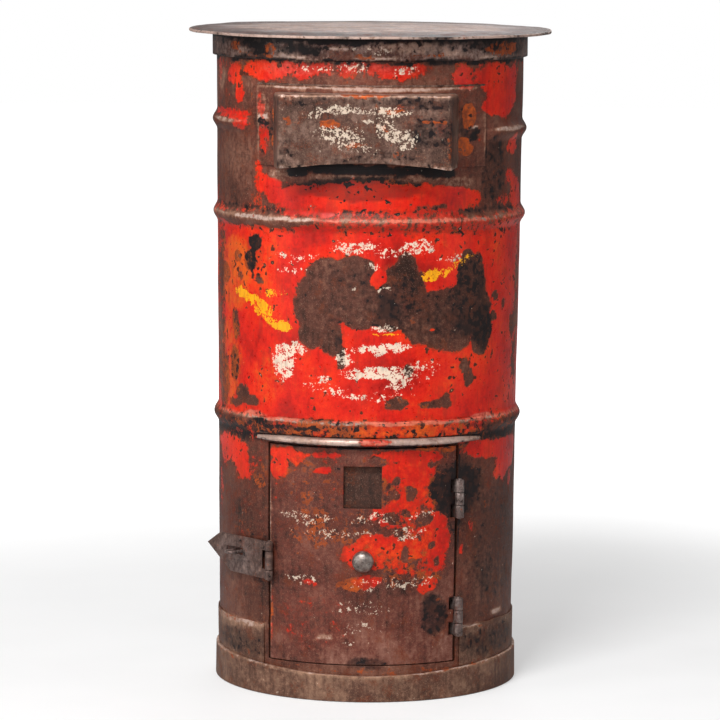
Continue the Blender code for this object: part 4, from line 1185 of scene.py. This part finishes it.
def make_hood():
    """One sheet folded over at the top and round both cheeks, open below and at the wall."""
    low, high = HOOD_Z
    half, bend = HOOD_HALF_WIDTH, HOOD_BEND
    depth, fine = HOOD_BOX_DEPTH, bend / 4
    across = np.concatenate([
        steps(-half, -half + bend, fine), steps(-half + bend, half - bend, HOOD_STEP)[1:],
        steps(half - bend, half, fine)[1:],
    ])
    back = np.concatenate([steps(0.0, bend, fine), steps(bend, depth, HOOD_STEP)[1:]])
    up = np.concatenate([steps(low, high - bend, HOOD_STEP), steps(high - bend, high, fine)[1:]])
    wall = wall_radius(high) + 2 * GAP + SLOT_PLATE_SHEET

    index, vertices, faces = {}, [], []

    def corner(i, j, k):
        """The point at these steps across, back and up, with the box's edges rounded."""
        if (i, j, k) in index:
            return index[(i, j, k)]
        x, s, z = across[i], back[j], up[k]
        core = Vector((min(max(x, bend - half), half - bend), max(s, bend), min(z, high - bend)))
        outward = Vector((x, s, z)) - core
        x, s, z = core + outward.normalized() * bend if outward.length > 0 else core
        if s > bend:
            reach = HOOD_FACE - math.sqrt(wall**2 - x**2)
            s = bend + (s - bend) * (reach - bend) / (depth - bend)
        x *= 1 + HOOD_FLARE / half * s / depth
        span = half - 2 * SHEET
        arch = HOOD_ARCH * max(0.0, 1 - (x / span) ** 2) * (1 - (z - low) / (high - low)) ** 2
        z += arch * (s < bend)
        index[(i, j, k)] = len(vertices)
        vertices.append((x, s - HOOD_FACE, z))
        return index[(i, j, k)]

    def cell(*places):
        faces.append([corner(*place) for place in places])

    last_x, last_z = len(across) - 1, len(up) - 1
    for k in range(last_z):
        for i in range(last_x):
            cell((i, 0, k), (i + 1, 0, k), (i + 1, 0, k + 1), (i, 0, k + 1))
        for j in range(len(back) - 1):
            for i in (0, last_x):
                cell((i, j, k), (i, j, k + 1), (i, j + 1, k + 1), (i, j + 1, k))
            faces[-1].reverse()  # the right-hand cheek faces the other way
    for j in range(len(back) - 1):
        for i in range(last_x):
            cell((i, j, last_z), (i + 1, j, last_z), (i + 1, j + 1, last_z), (i, j + 1, last_z))

    points = np.array(vertices)
    on_face = 1 - smooth(points[:, 1], -HOOD_FACE, -HOOD_FACE + 2 * bend)
    dent = 0.0009 * wander(points, 0.045, 81) + 0.0003 * wander(points, 0.015, 82)
    points[:, 1] += np.maximum(dent + 0.0005, 0.0) * on_face
    lower_lip = 1 - smooth(points[:, 2], low, low + 0.02)
    points[:, 2] += 0.0012 * wander(points, 0.03, 83) * lower_lip
    hood = finish_mesh("hood_cover", points, faces, 60.0)
    thicken = hood.modifiers.new("thickness", "SOLIDIFY")
    thicken.thickness = HOOD_SHEET
    thicken.offset = -1
    thicken.use_even_offset = True
    settle(hood, Matrix.Rotation(math.radians(HOOD_AZIMUTH), 4, "Z"))
    bevel(hood, 0.0006)
    show(hood, "cabinet", "bare_steel", GREY_STEEL, "letter_hood", patches=HOOD_PATCHES)


def weld(name, route, size, seed, material=GREY_STEEL, slot="bare_steel", patches=METAL_PATCHES):
    """A lumpy run of weld along a route of points."""
    points = np.array([list(point) for point in route])
    ripple = 1 + 0.28 * wander(points, 0.004, seed) + 0.25 * wander(points, 0.012, seed + 1)
    ends = np.minimum(np.arange(len(points)), np.arange(len(points))[::-1])
    radii = size * ripple * np.clip((ends + 0.4) / 3, 0.15, 1.0)
    sway = np.array([noise.noise_vector(Vector(p) / 0.01 + Vector((seed, 0, 0))) for p in points])
    run = tube(name, wire_rings(points + 0.25 * size * sway, radii, 10))
    show(run, "cabinet", slot, material, patches=patches)


def along_wall(start, end, z, distance):
    azimuths = np.arange(start, end, WELD_STEP)
    radius = wall_radius(z) + distance + undulation(azimuths, z + 0 * azimuths)
    return polar(azimuths, radius, z + 0 * azimuths)


def make_welds():
    top = SLOT_PLATE_Z[1]
    weld("slot_plate_weld", along_wall(SLOT_PLATE_FROM, SLOT_PLATE_TO, top, 0.0010), 0.0017, 91)
    plate_front = GAP + SLOT_PLATE_SHEET
    reach = math.degrees(math.asin((HOOD_HALF_WIDTH + HOOD_FLARE) / wall_radius(HOOD_Z[1])))
    for side, name in ((-1, "left"), (1, "right")):
        azimuth = HOOD_AZIMUTH + side * (reach + 0.4)
        heights = np.arange(HOOD_Z[0] + 0.002, HOOD_Z[1] - 0.001, 0.0014)
        azimuths = azimuth + 0 * heights
        radius = wall_radius(heights) + plate_front + 0.0006 + undulation(azimuths, heights)
        weld(f"hood_weld_{name}", polar(azimuths, radius, heights), 0.0018, 93 + side)
    low, high = HOOD_AZIMUTH - reach, HOOD_AZIMUTH + reach
    above_hood = along_wall(low, high, HOOD_Z[1] - 0.0005, plate_front + 0.0003)
    weld("hood_weld_top", above_hood, 0.0016, 97)
    above_rail = along_wall(RAIL_FROM + 1, RAIL_TO - 1, HEADER_Z[0] - 0.0002, 0.0010)
    weld("rail_weld", above_rail, 0.0014, 99)


def make_seam_weld():
    heights = np.arange(WRAP_TOP_Z + 0.004, RIM_BOTTOM_Z - 0.001, 0.0022)
    azimuths = 180.0 + 0 * heights
    radius = wall_radius(heights) + bead(azimuths, heights) + undulation(azimuths, heights) + 0.0004
    route = polar(azimuths, radius, heights)
    weld("seam_weld", route, 0.0015, 101, PAINTED, "red_paint", WALL_PATCHES)


def make_drip_rail():
    """A crescent shelf over the door, drawn out to nothing at both ends."""
    middle, half = (RAIL_FROM + RAIL_TO) / 2, (RAIL_TO - RAIL_FROM) / 2
    least = 0.0012
    section = (
        (0.0, -0.48), (0.80, -0.48), (0.95, -0.40), (1.0, -0.20), (0.97, 0.05), (0.88, 0.27),
        (0.74, 0.42), (0.52, 0.48), (0.0, 0.48),
    )
    rings = []
    for azimuth in steps(RAIL_FROM, RAIL_TO, 0.8):
        width = least + (RAIL_WIDTH - least) * (1 - abs((azimuth - middle) / half) ** 5)
        here = polar(azimuth, NOISE_RADIUS, RAIL_Z)
        ripple = noise.noise(Vector(here) / 0.03)
        sway = 0.0007 * noise.noise(Vector(here) / 0.07 + Vector((5, 0, 0)))
        inner = wall_radius(RAIL_Z) + GAP
        thickness = RAIL_THICKNESS * (0.45 + 0.55 * (width / RAIL_WIDTH))
        middle_z = RAIL_Z - (RAIL_THICKNESS - thickness) / 2
        ring = []
        for out, height in section:
            radius = inner + width * out * (1 + 0.05 * ripple)
            ring.append(polar(azimuth, radius, middle_z + sway * out + thickness * height))
        rings.append(ring)
    rail = tube("drip_shelf", rings, 50.0)
    show(rail, "cabinet", "bare_steel", RAIL_STEEL, "drip_rail", patches=RAIL_PATCHES)


# Door and its fittings


def make_door():
    left = math.degrees(math.asin(WINDOW_HALF_WIDTH / wall_radius(WINDOW_Z[0])))
    window = (WINDOW_AZIMUTH - left, WINDOW_AZIMUTH + left)
    window_middle = sum(WINDOW_Z) / 2
    window_half_height = (WINDOW_Z[1] - WINDOW_Z[0]) / 2
    half, inner = HINGE_HEIGHT / 2, MIDDLE_KNUCKLE / 2
    notches = []
    for middle in HINGE_MIDDLES.values():
        notches += [(middle - half, middle - inner), (middle + inner, middle + half)]

    def keep(azimuth, z):
        in_window = window[0] < azimuth < window[1] and WINDOW_Z[0] < z < WINDOW_Z[1]
        in_notch = azimuth > NOTCH_FROM and any(low < z < high for low, high in notches)
        return not (in_window or in_notch)

    def outer(azimuth, z):
        """The door's edges stand a hair proud, where its returns were folded."""
        lip = sum(proud * hump(azimuth - edge, DOOR_LIP_HALF_ANGLE) for edge, proud in DOOR_LIPS)
        beside = np.maximum(np.abs(azimuth - WINDOW_AZIMUTH) - left, 0) / WINDOW_PRESS_HALF_ANGLE
        rise = np.maximum(np.abs(z - window_middle) - window_half_height, 0) / WINDOW_PRESS_REACH
        pressed_in = -WINDOW_PRESS * np.exp(-(beside**2 + rise**2))
        return wall_radius(z) + undulation(azimuth, z) + lip + pressed_in

    azimuths = steps(DOOR_FROM, DOOR_TO, 0.9, *window, NOTCH_FROM)
    notch_ends = [z for notch in notches for z in notch]
    heights = steps(*DOOR_Z, 0.0032, *WINDOW_Z, *notch_ends)
    pieces = [bevel(sheet("door_sheet", azimuths, heights, outer, SHEET, keep))]
    for name, edge in (
        ("left", DOOR_FROM + RETURN_INSET), ("right", DOOR_TO - RETURN_INSET - RETURN_ANGLE),
    ):
        ends = np.array([edge, edge + RETURN_ANGLE])
        heights = steps(RETURN_FOOT_Z, DOOR_Z[1] - 0.0005, 0.02, *notch_ends)
        depth = RETURN_DEPTH - 0.002
        fold = sheet("return_" + name, ends, heights, plain_wall(-SHEET), depth, keep)
        pieces.append(bevel(fold, 0.0004, 1))
    door = merged("door_leaf", pieces)
    show(door, "door", "red_paint", DOOR_SHEET, "door_panel", shown=outer_side)


def make_knob():
    arc = 12
    profile = []
    for i in range(arc + 1):
        angle = math.pi / 2 * (1 - i / arc)
        height = KNOB_RIM + (KNOB_HEIGHT - KNOB_RIM) * math.sin(angle) ** 0.9
        profile.append((max(KNOB_RADIUS * math.cos(angle), AXIS_HOLE), height))
    profile += [
        (KNOB_RADIUS - 0.0004, (KNOB_RIM + KNOB_SEAT) / 2), (KNOB_RADIUS - 0.0016, KNOB_SEAT),
        (SHANK_RADIUS + 0.0025, KNOB_SEAT), (SHANK_RADIUS, KNOB_SEAT + 0.0001),
        (SHANK_RADIUS, -SHANK_LENGTH), (AXIS_HOLE, -SHANK_LENGTH),
    ]
    knob = turned("knob_dome", profile, 64)
    upright = Matrix.Rotation(math.pi / 2, 4, "X")
    settle(knob, at_wall(KNOB_AZIMUTH, wall_radius(KNOB_Z), KNOB_Z) @ upright)
    show_steel(knob, "door", KNOB_STEEL, "door_knob")


def knuckle(name, radius, low, high):
    """A rolled knuckle with softened ends."""
    soft = 0.0011
    softer = soft * 0.3
    rounded = ((AXIS_HOLE, 0.0), (radius - soft, 0.0), (radius - softer, softer), (radius, soft))
    profile = [(across, high - drop) for across, drop in rounded]
    profile += [(across, low + rise) for across, rise in reversed(rounded)]
    return turned(name, profile, 32)


def make_hinges():
    half, inner = HINGE_HEIGHT / 2, MIDDLE_KNUCKLE / 2
    spans = {
        "frame": [(-half, -inner - KNUCKLE_GAP), (inner + KNUCKLE_GAP, half)],
        "door": [(-inner, inner)],
    }
    for level, middle in HINGE_MIDDLES.items():
        there = at_wall(HINGE_AZIMUTH, HINGE_RADIUS, middle)
        for owner, body, side in (("frame", "cabinet", 1), ("door", "door", -1)):
            near, far = sorted((side * LEAF_SHEET * 0.1, side * LEAF_SHEET * 1.1))
            flat = plate("leaf", (near, LEAF_START, -half), (far, LEAF_DEPTH, half))
            pieces = [bevel(flat, FINE_BEVEL, 1)]
            for low, high in spans[owner]:
                pieces.append(knuckle("knuckle", BARREL_RADIUS, low, high))
                tab = plate("tab", (near, 0, low + 0.0002), (far, TAB_DEPTH, high - 0.0002))
                pieces.append(bevel(tab, FINE_BEVEL, 1))
            leaf = smoothed(settle(merged(f"{level}_hinge_{owner}_side", pieces), there))
            show_steel(leaf, body, HINGE_STEEL, f"{level}_hinge_{owner}_leaf")
        tall = half + 0.0015
        pin = settle(knuckle(f"{level}_hinge_rod", PIN_RADIUS, -tall, tall), there)
        show_steel(pin, "cabinet", HINGE_STEEL, f"{level}_hinge_pin")


def strap_frame():
    """Local X runs from the hasp's pin to the strap's tip, local Y is up, local Z points in."""
    angle = math.radians(STRAP_AZIMUTH)
    along = Vector((-math.cos(angle), -math.sin(angle), 0))
    up = Vector((0, 0, 1))
    turn = Matrix((along, up, along.cross(up))).transposed().to_4x4()
    pin = at_wall(HASP_AZIMUTH, HASP_RADIUS, HASP_Z).translation
    return Matrix.Translation(pin) @ turn


def outline_plate(name, outline, thickness, holes):
    """A flat plate of this outline with rectangular holes, centred on z = 0."""
    shape = bmesh.new()
    top = [shape.verts.new((x, y, thickness / 2)) for x, y in outline]
    face = shape.faces.new(top)
    made = bmesh.ops.extrude_face_region(shape, geom=[face])
    moved = [item for item in made["geom"] if isinstance(item, bmesh.types.BMVert)]
    bmesh.ops.translate(shape, verts=moved, vec=(0, 0, -thickness))
    bmesh.ops.recalc_face_normals(shape, faces=shape.faces)
    thing = from_bmesh(name, shape)
    cutters = [plate("hole", low, high) for low, high in holes]
    for cutter in cutters:
        cut = thing.modifiers.new("hole", "BOOLEAN")
        cut.operation = "DIFFERENCE"
        cut.object = cutter
        cut.solver = "EXACT"
    apply_modifiers(thing)
    for cutter in cutters:
        bpy.data.objects.remove(cutter)
    return thing


def make_hasp():
    half = HASP_HALF_HEIGHT
    slot_middle = STAPLE_Z - HASP_Z
    notch_half = HASP_KNUCKLE_HALF + KNUCKLE_GAP
    holes = [
        ((-0.02, -notch_half, -0.02), (HASP_NOTCH, notch_half, 0.02)),
        ((STRAP_SLOT[0], slot_middle - STRAP_SLOT_HALF_HEIGHT, -0.02),
         (STRAP_SLOT[1], slot_middle + STRAP_SLOT_HALF_HEIGHT, 0.02)),
    ]
    blade = bevel(outline_plate("blade", STRAP_OUTLINE, STRAP_SHEET, holes), 0.0006, 2, 30)
    pieces = [blade]
    for low, high in ((-half, -notch_half), (notch_half, half)):
        barrel = knuckle("barrel", HASP_BARREL_RADIUS, low, high)
        pieces.append(settle(barrel, Matrix.Rotation(-math.pi / 2, 4, "X")))
    strap = smoothed(settle(merged("hasp_blade", pieces), strap_frame()))
    show_steel(strap, "hasp", HASP_IRON, "hasp_strap")

    there = at_wall(HASP_AZIMUTH, HASP_RADIUS, HASP_Z)
    outside = -HASP_BARREL_RADIUS + GAP
    low, high = -HASP_KNUCKLE_HALF + 0.0002, HASP_KNUCKLE_HALF - 0.0002
    flat = plate("flat", (outside, 0.0, low), (outside + LEAF_SHEET, HASP_LEAF_DEPTH, high))
    barrel = knuckle("barrel", HASP_BARREL_RADIUS, -HASP_KNUCKLE_HALF, HASP_KNUCKLE_HALF)
    leaf = smoothed(settle(merged("hasp_door_side", [bevel(flat, FINE_BEVEL, 1), barrel]), there))
    show_steel(leaf, "door", HASP_IRON, "hasp_door_leaf")
    tall = half + 0.002
    pin = settle(knuckle("hasp_rod", HASP_PIN_RADIUS, -tall, tall), there)
    show_steel(pin, "door", HASP_IRON, "hasp_pin")

    turns = 16
    bend = []
    for i in range(turns + 1):
        angle = math.pi * i / turns
        out = -STAPLE_BEND - STAPLE_HALF_WIDTH * math.sin(angle)
        bend.append((-STAPLE_HALF_WIDTH * math.cos(angle), out, 0))
    ends = [(side * STAPLE_HALF_WIDTH, -STAPLE_INNER, 0) for side in (-1, 1)]
    loop = tube("staple_loop", wire_rings([ends[0], *bend, ends[1]], STAPLE_WIRE, 16))
    settle(loop, at_wall(STAPLE_AZIMUTH, 0.0, STAPLE_Z))
    show_steel(loop, "cabinet", HINGE_STEEL, "hasp_staple")


KEPT_NODES = {
    "hour_plate_holder": RUSTY, "knob_washer": GREY_STEEL, "knob_nut": GREY_STEEL,
    **dict.fromkeys((
        "seam_strap", "floor_plate", "letter_chute", "jamb_left", "jamb_right", "door_sill",
        "door_brace_lower", "door_brace_upper", "staple_plate", "hour_plate",
    ), INSIDE),
}


def dress_kept_nodes():
    for name, material in KEPT_NODES.items():
        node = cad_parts[name]
        node.data.materials.clear()
        node.data.materials.append(material)


# Stage, camera and light

FLOOR_RADIUS = 14.0
FLOOR_GLOW_FROM, FLOOR_GLOW_TO = 0.5, 2.6  # the floor brightens to white this far out
FLOOR_Z = -0.0005  # a hair below the foot, so that the two never share a plane
FLOOR_RINGS = (0.3, 0.8, 2.0, 5.0, FLOOR_RADIUS)
WORLD_LIGHT = 0.23
LIGHTS = (  # name, place, height aimed at, size and power
    ("key", (-0.9, -2.4, 3.2), 0.50, (1.3, 0.8), 126),
    ("front", (-0.9, -4.3, 2.0), HEIGHT / 2, (2.2, 1.4), 50),
    ("left", (-3.0, -1.6, 1.3), HEIGHT / 2, (0.7, 2.0), 22),
    ("right", (3.2, -1.4, 1.3), HEIGHT / 2, (0.7, 2.0), 12),
    ("behind", (0.8, 3.4, 2.6), HEIGHT / 2, (2.2, 1.4), 32),
)
CAMERA_DISTANCE = 5.130
CAMERA_HEIGHT = 1.081
CAMERA_SIDE = -0.0198
CAMERA_PITCH = 7.14
CAMERA_YAW = 0.103
CAMERA_ROLL = 0.458
CAMERA_LENS = 186.4
SENSOR_WIDTH = 36.0
CAMERA_REACH = 60.0


def make_floor():
    g = Graph("studio_floor")
    tone = g.noise(0.5, 3.0)
    shade = g.ramp(tone, (0.3, srgb(188, 188, 188)), (0.7, srgb(196, 196, 196)))
    g.feed(shade, g.shader.inputs["Base Color"])
    g.shader.inputs["Roughness"].default_value = 0.8
    away = g.tree.nodes.new("ShaderNodeVectorMath")
    away.operation = "LENGTH"
    g.feed(g.place, away.inputs[0])
    middle = (FLOOR_GLOW_FROM + FLOOR_GLOW_TO) / 2
    glow = g.step(away.outputs["Value"], middle, (FLOOR_GLOW_TO - FLOOR_GLOW_FROM) / 2)
    g.shader.inputs["Emission Color"].default_value = (1.0, 1.0, 1.0, 1.0)
    seen = g.tree.nodes.new("ShaderNodeLightPath").outputs["Is Camera Ray"]
    g.feed(g.times(seen, g.blend(glow, 0.38, 1.0)), g.shader.inputs["Emission Strength"])
    around = 96
    vertices = [(0.0, 0.0, FLOOR_Z)]
    for radius in FLOOR_RINGS:
        for i in range(around):
            turn = 2 * math.pi * i / around
            vertices.append((radius * math.cos(turn), radius * math.sin(turn), FLOOR_Z))
    faces = [(0, 1 + i, 1 + (i + 1) % around) for i in range(around)]
    for k in range(len(FLOOR_RINGS) - 1):
        start = 1 + k * around
        for i in range(around):
            j = (i + 1) % around
            faces.append((start + i, start + around + i, start + around + j, start + j))
    floor = finish_mesh("studio_floor", vertices, faces)
    floor.data.materials.append(g.material)


def make_camera():
    data = bpy.data.cameras.new("camera")
    data.lens = CAMERA_LENS
    data.sensor_width = SENSOR_WIDTH
    data.clip_end = CAMERA_REACH
    camera = link("camera", data)
    turn = Matrix.Rotation(-math.radians(CAMERA_YAW), 4, "Z")
    tip = Matrix.Rotation(math.radians(90 - CAMERA_PITCH), 4, "X")
    roll = Matrix.Rotation(math.radians(CAMERA_ROLL), 4, "Z")
    there = Matrix.Translation((CAMERA_SIDE, -CAMERA_DISTANCE, CAMERA_HEIGHT))
    camera.matrix_world = there @ turn @ tip @ roll
    bpy.context.scene.camera = camera


def area_light(name, place, target, size, power):
    data = bpy.data.lights.new(name, "AREA")
    data.shape = "RECTANGLE"
    data.size, data.size_y = size
    data.energy = power
    light = link(name, data)
    light.location = place
    light.rotation_euler = (Vector(target) - Vector(place)).to_track_quat("-Z", "Y").to_euler()


def make_light():
    for name, place, target_z, size, power in LIGHTS:
        area_light(name, place, (0, 0, target_z), size, power)
    world = bpy.data.worlds.new("studio")
    world.use_nodes = True
    bpy.context.scene.world = world
    tree = world.node_tree
    background = tree.nodes["Background"]
    background.inputs["Color"].default_value = (1.0, 1.0, 1.0, 1.0)
    seen = tree.nodes.new("ShaderNodeLightPath")
    strength = tree.nodes.new("ShaderNodeMix")
    strength.inputs[2].default_value = WORLD_LIGHT
    strength.inputs[3].default_value = 1.0
    tree.links.new(seen.outputs["Is Camera Ray"], strength.inputs[0])
    tree.links.new(strength.outputs[0], background.inputs["Strength"])
    view = bpy.context.scene.view_settings
    view.view_transform = "Standard"
    view.look = "None"


for make in (
    make_wall, make_slot_plate, make_bands, make_lid, make_hood, make_drip_rail, make_welds,
    make_seam_weld, make_door, make_knob, make_hinges, make_hasp, dress_kept_nodes, make_floor,
    make_camera, make_light,
):
    make()
